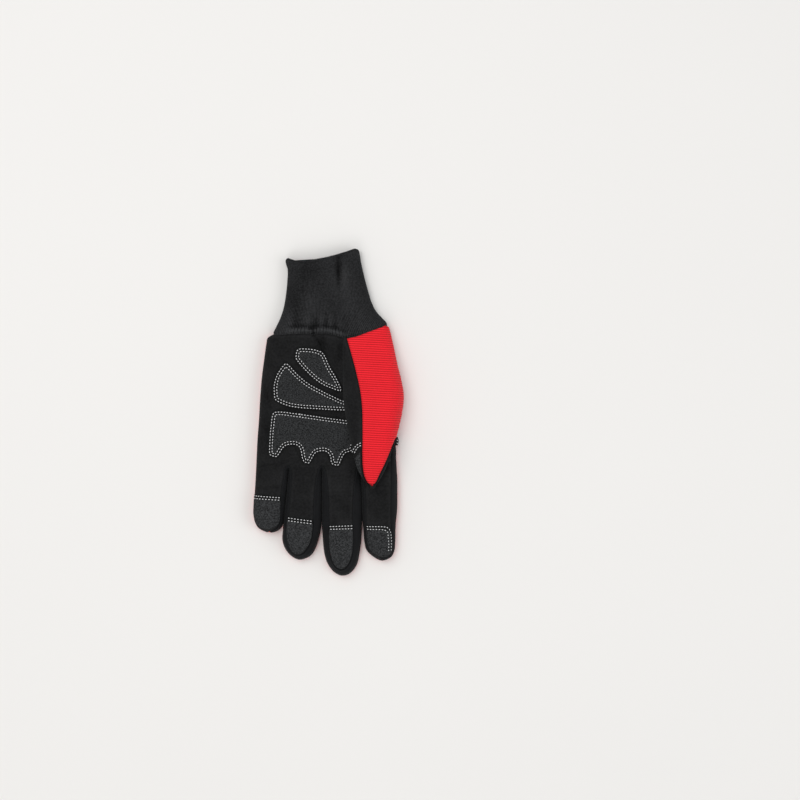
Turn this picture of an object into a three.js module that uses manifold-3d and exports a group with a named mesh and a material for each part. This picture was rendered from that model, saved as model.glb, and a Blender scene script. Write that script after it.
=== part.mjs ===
// A left-hand work glove lying palm up, its thumb folded over the palm.
// Millimetres. +Y runs from the fingertips to the cuff, +Z up from the table.
import * as THREE from "three";
import { mergeVertices } from "three/addons/utils/BufferGeometryUtils.js";
import Module from "manifold-3d";

const wasm = await Module();
wasm.setup();

// Driving sizes.
const HAND_WIDTH = 117;
const PALM_LENGTH = 110.7;
const CUFF_LENGTH = 69.8;
const LITTLE_LENGTH = 51.4;
const RING_LENGTH = 73.6;
const MIDDLE_LENGTH = 86.9;
const INDEX_LENGTH = 74.5;
const THUMB_LENGTH = 125.9;
const HAND_THICKNESS = 15;
const FINGER_THICKNESS = 14.4;
const CUFF_THICKNESS = 13.4;
const THUMB_HEIGHT = 28.2;
const THUMB_CLEARANCE = 2.2;
const EDGE_ROUND = 9.5;
const LEATHER = 1.6;
const KNIT = 2.4;
const PAD_THICKNESS = 1.4;
const PATCH_THICKNESS = 0.9;
const SEAM_GAP = 0.3;
const LAY_GAP = 0.35;

// Points closer than this are one point.
const WELD = 1e-4;
// Edges this short, left by a cut, are drawn into their neighbours.
const SLIVER = 0.02;
// A triangle this low is turned into its neighbour, in so many rounds at most.
const FLAT_HEIGHT = 0.002;
const FLAT_ROUNDS = 4;

// Where the seams and the web's patch lie, as shares of the hand's or the thumb's height.
const BACK_SEAM_AT = 0.34;
const STRIP_SEAM_AT = 0.6;
const RED_SEAM_AT = 0.8;
const WEB_PATCH_FROM = 0.1;
const WEB_PATCH_TO = 0.8;

// Heights worked out from them.
const BACK_SEAM = BACK_SEAM_AT * HAND_THICKNESS;
const STRIP_SEAM = STRIP_SEAM_AT * HAND_THICKNESS;
const PALM_TOP = HAND_THICKNESS + LAY_GAP;
const THUMB_MIDDLE = RED_SEAM_AT * THUMB_HEIGHT;
const FAR = 2 * HAND_WIDTH;
const SKY = 2 * THUMB_HEIGHT;

// A section's side is an upper and a lower quarter ellipse that meet at this share of its height.
const WIDEST_AT = 0.42;
const UPPER_STEPS = 3;
const LOWER_STEPS = 2;
// A section's rounded sides take this share of its half width at most.
const ROUND_LIMIT = 0.9;
// The room between two columns of a section's top, as a share of its half width.
const COLUMN_ROOM = 0.02;
// Half width and height that a section keeps, however far it is moved in.
const THINNEST = 0.8;
// A fingertip's section that is less full than this is raised off the table.
const FULL = 0.9;
// Rows of the hand that lie closer than this are one row.
const ROW_ROOM = 0.01;
// A corner of a grown plan moves out no further than the distance over this.
const MITRE_LIMIT = 0.5;
// Past this share of its length the thumb is free of the palm.
const THUMB_FREE_FROM = 0.7068;
// The index strip starts under this place of the palm's edge, as a share of the hand's width.
const STRIP_START = 0.4394;

const FINGERS = {
  little: {
    length: LITTLE_LENGTH,
    // along the finger, left edge, right edge, how full it is
    rows: [
      [-0.0957, -0.4968, -0.295, 0.93],
      [0.0255, -0.5095, -0.2866, 0.97],
      [0.2711, -0.5151, -0.2985, 0.97],
      [0.5582, -0.5235, -0.3111, 0.96],
      [0.7337, -0.5263, -0.3139, 0.93],
      [0.8533, -0.5158, -0.3196, 0.84],
      [0.941, -0.4926, -0.3385, 0.62],
      [1, -0.445, -0.3819, 0.2],
    ],
  },
  ring: {
    length: RING_LENGTH,
    rows: [
      [-0.0668, -0.2656, -0.0624, 0.93],
      [0.02, -0.2775, -0.0526, 0.97],
      [0.1893, -0.2873, -0.0512, 0.97],
      [0.4454, -0.3006, -0.0526, 0.96],
      [0.6793, -0.316, -0.061, 0.93],
      [0.7906, -0.3203, -0.075, 0.87],
      [0.8797, -0.3034, -0.0946, 0.74],
      [0.9577, -0.267, -0.1268, 0.52],
      [1, -0.2235, -0.1759, 0.2],
    ],
  },
  middle: {
    length: MIDDLE_LENGTH,
    rows: [
      [-0.0566, -0.0329, 0.2053, 0.93],
      [0.0189, -0.0427, 0.2165, 0.97],
      [0.1981, -0.0434, 0.2235, 0.98],
      [0.434, -0.0434, 0.2278, 0.97],
      [0.6509, -0.0364, 0.2228, 0.95],
      [0.8019, -0.0245, 0.2123, 0.88],
      [0.8962, -0.0021, 0.1955, 0.75],
      [0.966, 0.0371, 0.1605, 0.52],
      [1, 0.0778, 0.1226, 0.2],
    ],
  },
  index: {
    length: INDEX_LENGTH,
    rows: [
      [-0.0661, 0.2376, 0.4646, 0.93],
      [0.0242, 0.2278, 0.4786, 0.97],
      [0.1872, 0.2334, 0.4821, 0.97],
      [0.4075, 0.2404, 0.4807, 0.96],
      [0.6718, 0.2488, 0.4695, 0.93],
      [0.804, 0.2558, 0.4667, 0.87],
      [0.8921, 0.2698, 0.4632, 0.76],
      [0.9626, 0.3146, 0.4436, 0.54],
      [1, 0.3581, 0.4029, 0.2],
    ],
  },
};

// Along the palm from the wrist, left edge, right edge, share of the hand's thickness.
const HAND_ROWS = [
  [-0.163, -0.3819, 0.3924, 0.893],
  [-0.0667, -0.3819, 0.4029, 0.893],
  [-0.003, -0.3833, 0.4198, 0.893],
  [0.0259, -0.4282, 0.4282, 0.9092],
  [0.0741, -0.4373, 0.4394, 0.937],
  [0.1778, -0.4513, 0.4548, 0.9812],
  [0.3259, -0.4688, 0.4702, 1],
  [0.4889, -0.4814, 0.4814, 0.9886],
  [0.637, -0.4891, 0.4814, 0.985],
  [0.763, -0.4982, 0.4716, 0.9817],
  [0.8519, -0.5025, 0.4709, 0.978],
  [0.9259, -0.506, 0.4744, 0.9715],
  [1, -0.5088, 0.4786, 0.965],
];

// Along the thumb from the wrist, left edge, right edge, underside as a share of the free
// thumb's underside, top as a share of the thumb's height.
const THUMB_ROWS = [
  [-0.1433, 0.0988, 0.3903, 0.0349, 0.4752],
  [-0.0586, 0.0988, 0.4057, 0.0349, 0.4752],
  [-0.0261, 0.0995, 0.4296, 0.0349, 0.4929],
  [0.0717, 0.1023, 0.4548, 0.0349, 0.6099],
  [0.1954, 0.1058, 0.4828, 0.0349, 0.766],
  [0.2997, 0.1107, 0.5102, 0.0349, 0.8723],
  [0.3909, 0.1184, 0.527, 0.0349, 0.9362],
  [0.4756, 0.131, 0.5221, 0.0349, 0.9716],
  [0.6059, 0.1535, 0.494, 0.0349, 1],
  [0.6971, 0.1647, 0.4702, 0.6395, 1],
  [0.7068, 0.1661, 0.4674, 1, 1],
  [0.7883, 0.1752, 0.4352, 1, 0.9929],
  [0.8795, 0.2081, 0.3973, 1.0058, 0.9645],
  [0.9446, 0.2488, 0.3595, 1.0233, 0.9291],
  [0.9772, 0.2768, 0.3357, 1.0698, 0.8865],
  [1, 0.2964, 0.3189, 1.1744, 0.8227],
];

// Along the cuff from the wrist, left edge, right edge, share of the cuff's thickness.
const CUFF_ROWS = [
  [1.1046, -0.3034, 0.1962, 0.93],
  [0.8931, -0.2999, 0.22, 0.94],
  [0.7403, -0.2838, 0.2425, 0.95],
  [0.564, -0.288, 0.2726, 0.96],
  [0.3878, -0.3006, 0.3034, 0.97],
  [0.2468, -0.3217, 0.3455, 0.98],
  [0.1351, -0.3455, 0.3973, 0.99],
  [0, -0.3784, 0.4212, 1],
  [-0.1293, -0.4064, 0.4282, 1],
];

// Valleys between the finger roots: across, depth as a share of the hand's thickness.
const VALLEYS = [
  [-0.281, 0.4],
  [-0.0463, 0.38],
  [0.2221, 0.36],
];
const VALLEY_WIDTH = 0.036 * HAND_WIDTH;
const VALLEY_REACH = 0.17 * PALM_LENGTH;

// Folds and hollows of the palm: across, along, half width, half length, depth as a share
// of the hand's thickness.
const PALM_FOLDS = [
  [-0.0456, 0.0444, 0.035, 0.0741, 0.07],
  [-0.1997, 0.163, 0.1402, 0.0519, 0.03],
  [0.0526, 0.4889, 0.035, 0.2963, 0.05],
  [-0.424, 0.4889, 0.0491, 0.3333, 0.03],
  [-0.1647, 0.563, 0.2102, 0.037, 0.03],
];

// Creases of the cuff: across, along, half width, half length, depth as a share of its thickness.
const CUFF_FOLDS = [
  [0.0736, 0.8461, 0.0315, 0.3055, 0.1],
  [-0.1156, 0.0235, 0.0245, 0.1058, 0.09],
  [-0.2278, 0.3995, 0.0631, 0.2115, 0.04],
];

// Folds of the thumb's red back: across, along, half width, half length, depth as a share
// of the thumb's height.
const THUMB_FOLDS = [
  [0.2628, 0.0717, 0.0631, 0.0586, 0.03],
  [0.3609, 0.4625, 0.0841, 0.1042, -0.02],
  [0.3189, 0.8339, 0.042, 0.0521, 0.02],
];

const HAND_COLUMNS = [-0.3259, -0.281, -0.2348, -0.0918, -0.0463, -0.0007, 0.0876, 0.1766, 0.2221, 0.2684];
const CUFF_COLUMNS = [-0.18, -0.1156, 0, 0.0385, 0.0736, 0.1086, 0.2];
const THUMB_COLUMNS = [0.27, 0.33];

// Plans, each row a point: across, the part whose length it is a share of, along.
const WRIST_SEAM = [
  [-0.5151, "palm", 0.0015],
  [-0.3777, "palm", 0.0015],
  [-0.3329, "palm", 0.003],
  [-0.2446, "palm", -0.003],
  [-0.1717, "palm", -0.0052],
  [-0.1156, "palm", 0.0044],
  [-0.0638, "palm", -0.0074],
  [-0.0154, "palm", -0.0052],
  [0.0491, "palm", 0.0074],
  [0.089, "palm", 0.0215],
  [0.1226, "palm", 0.0326],
  [0.1997, "palm", 0.0148],
  [0.2719, "palm", -0.0148],
  [0.4043, "palm", -0.0644],
  [0.445, "palm", -0.0785],
  [0.5851, "palm", -0.1259],
];
const CUFF_MOUTH = [
  [-0.3679, "cuff", 0.839],
  [-0.316, "cuff", 0.8531],
  [-0.3027, "cuff", 0.8731],
  [-0.2782, "cuff", 0.8872],
  [-0.2523, "cuff", 0.8625],
  [-0.2242, "cuff", 0.8519],
  [-0.1787, "cuff", 0.866],
  [-0.0946, "cuff", 0.8754],
  [-0.0063, "cuff", 0.906],
  [0.0666, "cuff", 0.9354],
  [0.1367, "cuff", 0.9659],
  [0.1892, "cuff", 1],
  [0.2081, "cuff", 0.98],
  [0.2628, "cuff", 0.9589],
];
const PALM_PLAN = [
  [-0.6202, "palm", -0.2519],
  [0.0946, "palm", -0.2519],
  [0.0946, "palm", 0.237],
  [0.096, "palm", 0.4],
  [0.1142, "thumb", 0.4821],
  [0.1402, "thumb", 0.6124],
  [0.1605, "thumb", 0.7094],
  [0.4394, "thumb", 0.7094],
  [0.4422, "index", 0.1652],
  [0.4408, "index", 0.5286],
  [0.4436, "index", 0.9141],
  [0.417, "index", 0.9604],
  [0.3679, "index", 0.9692],
  [0.3189, "index", 0.9295],
  [0.281, "index", 0.8656],
  [0.2642, "index", 0.7599],
  [0.2586, "index", 0.5286],
  [0.2544, "index", 0.3414],
  [0.2502, "index", 0.1652],
  [0.246, "index", 0.0771],
  [0.2404, "palm", 1],
  [0.2221, "palm", 0.9541],
  [0.2039, "palm", 1],
  [0.1941, "middle", 0.066],
  [0.1857, "middle", 0.1415],
  [0.178, "middle", 0.2925],
  [0.1759, "middle", 0.4528],
  [0.1773, "middle", 0.6698],
  [0.1703, "middle", 0.8113],
  [0.1409, "middle", 0.9094],
  [0.0946, "middle", 0.9528],
  [0.0484, "middle", 0.9264],
  [0.0147, "middle", 0.8396],
  [0.0007, "middle", 0.6887],
  [-0.0021, "middle", 0.4528],
  [-0.0035, "middle", 0.2925],
  [-0.0091, "middle", 0.1415],
  [-0.0161, "middle", 0.066],
  [-0.0287, "palm", 1],
  [-0.0463, "palm", 0.9541],
  [-0.0638, "palm", 1],
  [-0.0764, "ring", 0.078],
  [-0.0862, "ring", 0.167],
  [-0.096, "ring", 0.3452],
  [-0.1002, "ring", 0.5345],
  [-0.1044, "ring", 0.6793],
  [-0.1198, "ring", 0.8129],
  [-0.1479, "ring", 0.8976],
  [-0.1927, "ring", 0.9577],
  [-0.2306, "ring", 0.9599],
  [-0.267, "ring", 0.902],
  [-0.288, "ring", 0.7951],
  [-0.2929, "ring", 0.657],
  [-0.2859, "ring", 0.5345],
  [-0.2747, "ring", 0.3452],
  [-0.2635, "ring", 0.167],
  [-0.2614, "ring", 0.078],
  [-0.2635, "palm", 1],
  [-0.281, "palm", 0.9541],
  [-0.2985, "palm", 1],
  [-0.3062, "little", 0.1116],
  [-0.316, "little", 0.2392],
  [-0.3266, "little", 0.4625],
  [-0.3294, "little", 0.7337],
  [-0.3385, "little", 0.8612],
  [-0.3609, "little", 0.9569],
  [-0.3819, "little", 1.0686],
  [-0.6202, "little", 1.0686],
];
const THUMB_BACK_PLAN = [
  [0.1261, "thumb", -0.2215],
  [0.1275, "thumb", 0.0313],
  [0.1514, "thumb", 0.1042],
  [0.1892, "thumb", 0.2313],
  [0.2193, "thumb", 0.3713],
  [0.2341, "thumb", 0.4853],
  [0.2376, "thumb", 0.6254],
  [0.2376, "thumb", 0.7687],
  [0.2425, "thumb", 0.8664],
  [0.2586, "thumb", 0.9349],
  [0.281, "thumb", 0.9642],
  [0.3034, "thumb", 0.9733],
  [0.3287, "thumb", 0.9655],
  [0.3497, "thumb", 0.942],
  [0.3819, "thumb", 0.8762],
  [0.4254, "thumb", 0.7687],
  [0.4534, "thumb", 0.7114],
  [0.6412, "thumb", 0.7114],
  [0.6412, "thumb", -0.2215],
];
const TIP_CENTRES = [-0.2025, 0.0988, 0.3749];

const PAD_PLANS = {
  wrist_pad: [
    [-0.2025, "palm", 0.1007],
    [-0.1577, "palm", 0.1],
    [-0.1128, "palm", 0.1037],
    [-0.0736, "palm", 0.1141],
    [-0.0413, "palm", 0.1289],
    [-0.0203, "palm", 0.1511],
    [0.0217, "palm", 0.2474],
    [0.0638, "palm", 0.323],
    [0.0988, "palm", 0.4],
    [0.096, "palm", 0.4311],
    [0.0119, "palm", 0.4089],
    [-0.0624, "palm", 0.3704],
    [-0.1352, "palm", 0.3081],
    [-0.1997, "palm", 0.2363],
    [-0.2355, "palm", 0.1778],
    [-0.2334, "palm", 0.1326],
  ],
  heel_pad: [
    [-0.3076, "palm", 0.2163],
    [-0.2642, "palm", 0.2319],
    [-0.1955, "palm", 0.3052],
    [-0.124, "palm", 0.3652],
    [-0.054, "palm", 0.4059],
    [0.0161, "palm", 0.4437],
    [0.0897, "palm", 0.4807],
    [0.0988, "palm", 0.5748],
    [0.014, "palm", 0.5711],
    [-0.0862, "palm", 0.5637],
    [-0.1941, "palm", 0.5563],
    [-0.281, "palm", 0.5407],
    [-0.3413, "palm", 0.517],
    [-0.3721, "palm", 0.4948],
    [-0.3861, "palm", 0.4407],
    [-0.3861, "palm", 0.3778],
    [-0.3679, "palm", 0.3067],
    [-0.3385, "palm", 0.2533],
  ],
  knuckle_pad: [
    [-0.3987, "palm", 0.5807],
    [-0.3721, "palm", 0.5667],
    [-0.3294, "palm", 0.5637],
    [-0.2004, "palm", 0.583],
    [-0.0862, "palm", 0.5978],
    [0.014, "palm", 0.6133],
    [0.1156, "palm", 0.6267],
    [0.1535, "palm", 0.8489],
    [0.1254, "palm", 0.8667],
    [0.1072, "palm", 0.8978],
    [0.0848, "palm", 0.9467],
    [0.0589, "palm", 0.9756],
    [0.0231, "palm", 0.9659],
    [-0.0007, "palm", 0.9481],
    [-0.0091, "palm", 0.9081],
    [-0.0245, "palm", 0.883],
    [-0.061, "palm", 0.8756],
    [-0.0904, "palm", 0.8933],
    [-0.117, "palm", 0.9333],
    [-0.1409, "palm", 0.9593],
    [-0.1668, "palm", 0.9578],
    [-0.1941, "palm", 0.9363],
    [-0.2081, "palm", 0.8637],
    [-0.2221, "palm", 0.8311],
    [-0.2922, "palm", 0.8252],
    [-0.3104, "palm", 0.84],
    [-0.3637, "palm", 0.9052],
    [-0.3959, "palm", 0.9037],
    [-0.424, "palm", 0.8859],
    [-0.4219, "palm", 0.7867],
    [-0.4149, "palm", 0.6881],
  ],
};

const TIP_PLANS = {
  little_tip: [
    [-0.5151, "little", 0.4051],
    [-0.3357, "little", 0.4354],
    [-0.3371, "little", 0.7337],
    [-0.3455, "little", 0.8533],
    [-0.3721, "little", 0.925],
    [-0.4205, "little", 0.9633],
    [-0.4674, "little", 0.9442],
    [-0.4996, "little", 0.8581],
    [-0.5137, "little", 0.7337],
  ],
  ring_tip: [
    [-0.2845, "ring", 0.5256],
    [-0.124, "ring", 0.5612],
    [-0.1212, "ring", 0.6793],
    [-0.1324, "ring", 0.7906],
    [-0.1549, "ring", 0.8731],
    [-0.1955, "ring", 0.9332],
    [-0.2263, "ring", 0.9399],
    [-0.26, "ring", 0.8864],
    [-0.2817, "ring", 0.7862],
    [-0.288, "ring", 0.657],
  ],
  middle_tip: [
    [0.0098, "middle", 0.5302],
    [0.1675, "middle", 0.5208],
    [0.1689, "middle", 0.6698],
    [0.1619, "middle", 0.7925],
    [0.1338, "middle", 0.8868],
    [0.0932, "middle", 0.9302],
    [0.0526, "middle", 0.9057],
    [0.0203, "middle", 0.8208],
    [0.0063, "middle", 0.6887],
  ],
  index_tip: [
    [0.2684, "index", 0.6167],
    [0.417, "index", 0.6322],
    [0.438, "index", 0.6674],
    [0.4443, "index", 0.7819],
    [0.4443, "index", 0.9207],
    [0.41, "index", 0.9515],
    [0.3651, "index", 0.9581],
    [0.3231, "index", 0.9229],
    [0.2852, "index", 0.8634],
    [0.2712, "index", 0.7599],
  ],
};

const THUMB_TIP_PLAN = [
  [0.1367, "thumb", 0.7883],
  [0.1717, "thumb", 0.7518],
  [0.2011, "thumb", 0.727],
  [0.2299, "thumb", 0.714],
  [0.2306, "thumb", 0.8638],
  [0.2453, "thumb", 0.9394],
  [0.2726, "thumb", 0.9772],
  [0.3034, "thumb", 0.9876],
  [0.3189, "thumb", 1.0163],
  [0.2628, "thumb", 1.0163],
  [0.1927, "thumb", 0.9121],
];
const WEB_PATCH_PLAN = [
  [0.417, "thumb", 0.6723],
  [0.5291, "thumb", 0.6723],
  [0.5291, "thumb", 0.7492],
  [0.417, "thumb", 0.7492],
];

const across = (share) => share * HAND_WIDTH;

function along(part, share) {
  if (part === "palm") return -share * PALM_LENGTH;
  if (part === "thumb") return -share * THUMB_LENGTH;
  if (part === "cuff") return share * CUFF_LENGTH;
  return -PALM_LENGTH - share * FINGERS[part].length;
}

const planPoints = (rows) => rows.map(([x, part, y]) => [across(x), along(part, y)]);

// One soft dent, full at its centre and gone at its half width and half length.
function dentAt(x, y, [centre, start, halfWidth, halfLength, depth]) {
  const u = (x - centre) / halfWidth;
  const v = (y - start) / halfLength;
  return depth * Math.exp(-u * u - v * v);
}

function foldsDepth(x, y, folds, part, height) {
  let depth = 0;
  for (const [cx, cy, width, length, share] of folds) {
    const row = [across(cx), along(part, cy), across(width), Math.abs(along(part, length)), share * height];
    depth += dentAt(x, y, row);
  }
  return depth;
}

// The hand's top sinks between the finger roots and in its folds.
function handDepth(x, y) {
  const nearness = THREE.MathUtils.clamp((-PALM_LENGTH + VALLEY_REACH - y) / VALLEY_REACH, 0, 1);
  const rise = nearness * nearness * (3 - 2 * nearness);
  let depth = foldsDepth(x, y, PALM_FOLDS, "palm", HAND_THICKNESS);
  for (const [centre, share] of VALLEYS) {
    const u = (x - across(centre)) / VALLEY_WIDTH;
    depth += share * HAND_THICKNESS * rise * Math.exp(-u * u);
  }
  return depth;
}

const cuffDepth = (x, y) => foldsDepth(x, y, CUFF_FOLDS, "cuff", CUFF_THICKNESS);
const thumbDepth = (x, y) => foldsDepth(x, y, THUMB_FOLDS, "thumb", THUMB_HEIGHT);

// The closed outline of a section at one place along the glove, moved in by inset.
function ring(section, inset, columns, depth) {
  const centre = (section.left + section.right) / 2;
  const halfWidth = Math.max((section.right - section.left) / 2 - inset, THINNEST);
  const left = centre - halfWidth;
  const right = centre + halfWidth;
  const level = (section.low + section.high) / 2;
  const halfHeight = Math.max((section.high - section.low) / 2 - inset, THINNEST / 2);
  const low = level - halfHeight;
  const high = level + halfHeight;
  const widest = low + WIDEST_AT * (high - low);
  const round = Math.min(EDGE_ROUND - inset, ROUND_LIMIT * halfWidth);
  const points = [];
  for (let i = 0; i <= LOWER_STEPS; i++) {
    const a = (i / LOWER_STEPS) * (Math.PI / 2);
    points.push([left + round * (1 - Math.sin(a)), low + (widest - low) * (1 - Math.cos(a))]);
  }
  for (let i = 1; i <= UPPER_STEPS; i++) {
    const a = (i / UPPER_STEPS) * (Math.PI / 2);
    points.push([left + round * (1 - Math.cos(a)), widest + (high - widest) * Math.sin(a)]);
  }
  const inside = COLUMN_ROOM * halfWidth;
  columns.forEach((share, i) => {
    const least = left + round + (i + 1) * inside;
    const most = right - round - (columns.length - i) * inside;
    points.push([THREE.MathUtils.clamp(across(share), least, Math.max(least, most)), high]);
  });
  for (let i = UPPER_STEPS; i >= 0; i--) {
    const a = (i / UPPER_STEPS) * (Math.PI / 2);
    points.push([right - round * (1 - Math.cos(a)), widest + (high - widest) * Math.sin(a)]);
  }
  for (let i = 1; i <= LOWER_STEPS; i++) {
    const a = (1 - i / LOWER_STEPS) * (Math.PI / 2);
    points.push([right - round * (1 - Math.sin(a)), low + (widest - low) * (1 - Math.cos(a))]);
  }
  return points.map(([x, z]) => {
    const share = THREE.MathUtils.clamp((z - widest) / (high - widest), 0, 1);
    return new THREE.Vector3(x, section.y, z - share * depth(x, section.y));
  });
}

// The triangles of a ring's flat end, turned the way the ring runs or against it.
function endFaces(points, withRing) {
  const flat = points.map((p) => new THREE.Vector2(p.x, p.z));
  const turn = Math.sign(THREE.ShapeUtils.area(flat));
  return THREE.ShapeUtils.triangulateShape(flat, []).map(([a, b, c]) => {
    const same = Math.sign(THREE.ShapeUtils.area([flat[a], flat[b], flat[c]])) === turn;
    return same === withRing ? [a, b, c] : [a, c, b];
  });
}

// A closed skin through a row of rings, with a flat face over each end.
function loft(rings) {
  const count = rings[0].length;
  const last = (rings.length - 1) * count;
  const positions = [];
  const index = [];
  rings.forEach((points) => points.forEach((p) => positions.push(p.x, p.y, p.z)));
  for (let i = 0; i < last; i += count) {
    for (let j = 0; j < count; j++) {
      const a = i + j;
      const b = i + ((j + 1) % count);
      index.push(a, b, a + count, b, b + count, a + count);
    }
  }
  endFaces(rings[0], false).forEach((face) => index.push(...face));
  endFaces(rings.at(-1), true).forEach((face) => index.push(...face.map((j) => last + j)));
  const geometry = new THREE.BufferGeometry();
  geometry.setAttribute("position", new THREE.Float32BufferAttribute(positions, 3));
  geometry.setIndex(index);
  return solidOf(geometry);
}

function solidOf(geometry) {
  const bare = geometry.clone();
  bare.deleteAttribute("normal");
  bare.deleteAttribute("uv");
  const merged = mergeVertices(bare, WELD);
  const triangles = new Uint32Array(merged.index.array);
  const make = () =>
    new wasm.Manifold(
      new wasm.Mesh({
        numProp: 3,
        vertProperties: merged.attributes.position.array,
        triVerts: triangles,
      }),
    );
  const solid = make();
  if (solid.volume() > 0) return solid;
  for (let i = 0; i < triangles.length; i += 3) {
    [triangles[i + 1], triangles[i + 2]] = [triangles[i + 2], triangles[i + 1]];
  }
  return make();
}

// The plan moved outwards by a distance, each corner along its mitre.
function grownPlan(points, by) {
  const flat = points.map(([x, y]) => new THREE.Vector2(x, y));
  const turn = THREE.ShapeUtils.area(flat) > 0 ? 1 : -1;
  return flat.map((p, i) => {
    const before = flat[(i + flat.length - 1) % flat.length];
    const after = flat[(i + 1) % flat.length];
    const a = p.clone().sub(before).normalize();
    const b = after.clone().sub(p).normalize();
    const normal = new THREE.Vector2(a.y + b.y, -a.x - b.x).multiplyScalar(turn).normalize();
    const outward = new THREE.Vector2(a.y, -a.x).multiplyScalar(turn);
    const mitre = by / Math.max(MITRE_LIMIT, normal.dot(outward));
    return [p.x + normal.x * mitre, p.y + normal.y * mitre];
  });
}

// A plan raised into a solid between two heights.
function prism(points, low, high) {
  const shape = new THREE.Shape(points.map(([x, y]) => new THREE.Vector2(x, y)));
  const geometry = new THREE.ExtrudeGeometry(shape, { depth: high - low, bevelEnabled: false });
  geometry.translate(0, 0, low);
  return solidOf(geometry);
}

function box(x0, x1, y0, y1, z0, z1) {
  const corners = [
    [x0, y0],
    [x1, y0],
    [x1, y1],
    [x0, y1],
  ];
  return prism(corners, z0, z1);
}

// The piece without the crumbs that a cut can leave beside it.
function mainBody(solid) {
  const bodies = solid.decompose();
  bodies.sort((a, b) => b.volume() - a.volume());
  return bodies[0];
}

function handSolid(inset) {
  const rings = HAND_ROWS.map(([share, left, right, thickness]) => {
    const end = along("palm", share);
    const section = {
      y: Math.max(end, along("palm", 1) + Math.max(inset, 0)),
      left: across(left),
      right: across(right),
      low: 0,
      high: thickness * HAND_THICKNESS,
    };
    return ring(section, inset, HAND_COLUMNS, handDepth);
  });
  // The rows that the inset has pushed onto the end are one row.
  const kept = rings.filter((points, i) => i === 0 || points[0].y < rings[i - 1][0].y - ROW_ROOM);
  return loft(kept);
}

function fingerSolid(name, inset) {
  const finger = FINGERS[name];
  const rings = finger.rows.map(([share, left, right, fullness]) => {
    const reach = share > 0 ? share * (finger.length - inset) : share * finger.length;
    const closing = fullness < FULL ? WIDEST_AT * (1 - fullness) : 0;
    const section = {
      y: along("palm", 1) - reach,
      left: across(left),
      right: across(right),
      low: closing * FINGER_THICKNESS,
      high: (WIDEST_AT + (1 - WIDEST_AT) * fullness) * FINGER_THICKNESS,
    };
    const middle = (left + right) / 2;
    return ring(section, inset, [middle], () => 0);
  });
  return loft(rings);
}

function thumbSolid(inset) {
  const rings = THUMB_ROWS.map(([share, left, right, low, high]) => {
    const section = {
      y: along("thumb", share) + (share > THUMB_FREE_FROM ? inset : 0),
      left: across(left),
      right: across(right),
      low: low * (HAND_THICKNESS + THUMB_CLEARANCE),
      high: high * THUMB_HEIGHT,
    };
    return ring(section, inset, THUMB_COLUMNS, thumbDepth);
  });
  return loft(rings);
}

function cuffSolid(inset) {
  const rings = CUFF_ROWS.map(([share, left, right, thickness]) => {
    const section = {
      y: along("cuff", share),
      left: across(left),
      right: across(right),
      low: 0,
      high: thickness * CUFF_THICKNESS,
    };
    return ring(section, inset, CUFF_COLUMNS, cuffDepth);
  });
  return loft(rings);
}

// The glove's outside, its hollow, and the shell between them, open at the wrist.
function gloveBody(inset) {
  let body = handSolid(inset).add(thumbSolid(inset));
  for (const name of Object.keys(FINGERS)) body = body.add(fingerSolid(name, inset));
  return body;
}

const outside = gloveBody(0);
const hollow = gloveBody(LEATHER);

const seamLine = planPoints(WRIST_SEAM);
const mouthLine = planPoints(CUFF_MOUTH);
const handSide = prism([...seamLine, [FAR, -FAR], [-FAR, -FAR]], -SKY, SKY);
const cuffSide = prism(
  [...seamLine.map(([x, y]) => [x, y + SEAM_GAP]), ...mouthLine.toReversed()],
  -SKY,
  SKY,
);

const shell = outside.subtract(hollow).intersect(handSide);
const upper = shell.intersect(box(-FAR, FAR, -FAR, FAR, BACK_SEAM + SEAM_GAP, SKY));
const lower = shell.intersect(box(-FAR, FAR, -FAR, FAR, -SKY, BACK_SEAM));

// The free thumb lies over the palm, so the palm side is taken below it.
// It reaches down to the back panel only at the little finger's outer side.
const palmPlan = planPoints(PALM_PLAN);
const outerSide = across(FINGERS.little.rows[0][1]) + EDGE_ROUND;
function palmRegion(plan, gap) {
  const side = box(-FAR, outerSide + gap, -FAR, FAR, 0, PALM_TOP);
  return prism(plan, STRIP_SEAM - gap, PALM_TOP).add(prism(plan, 0, PALM_TOP).intersect(side));
}
const palmCut = palmRegion(grownPlan(palmPlan, SEAM_GAP), SEAM_GAP);
const palmPanel = upper.intersect(palmRegion(palmPlan, 0));

const webLine = along("thumb", THUMB_FREE_FROM);
const rootSide = box(-FAR, FAR, webLine + SEAM_GAP, FAR, 0, SKY);
const freeSide = box(-FAR, FAR, -FAR, webLine + 2 * SEAM_GAP, PALM_TOP, SKY);
const thumbSide = upper.subtract(palmCut).intersect(rootSide.add(freeSide));
const redPlan = planPoints(THUMB_BACK_PLAN);
const redGrown = grownPlan(redPlan, SEAM_GAP);
function redOf(plan, gap) {
  const root = box(-FAR, FAR, webLine + SEAM_GAP - gap, FAR, 0, SKY);
  return prism(plan, THUMB_MIDDLE - gap, SKY).add(prism(plan, 0, SKY).intersect(root));
}
const thumbBack = thumbSide.intersect(redOf(redPlan, 0));
const thumbFront = thumbSide.subtract(redOf(redGrown, SEAM_GAP));

// What is left between the fingers and at the index side, parted at the fingertips' centres.
const stripFrom = across(STRIP_START) - EDGE_ROUND;
const strips = upper
  .subtract(palmCut)
  .intersect(box(-FAR, FAR, -FAR, FAR, 0, PALM_TOP))
  .subtract(box(stripFrom, FAR, webLine + SEAM_GAP / 2, FAR, 0, SKY));
const partings = TIP_CENTRES.map(across);
const edges = [-FAR, ...partings, FAR];
function stripOf(i) {
  const left = edges[i] + SEAM_GAP / 2;
  const right = edges[i + 1] - SEAM_GAP / 2;
  return strips.intersect(box(left, right, -FAR, FAR, 0, SKY));
}

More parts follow.
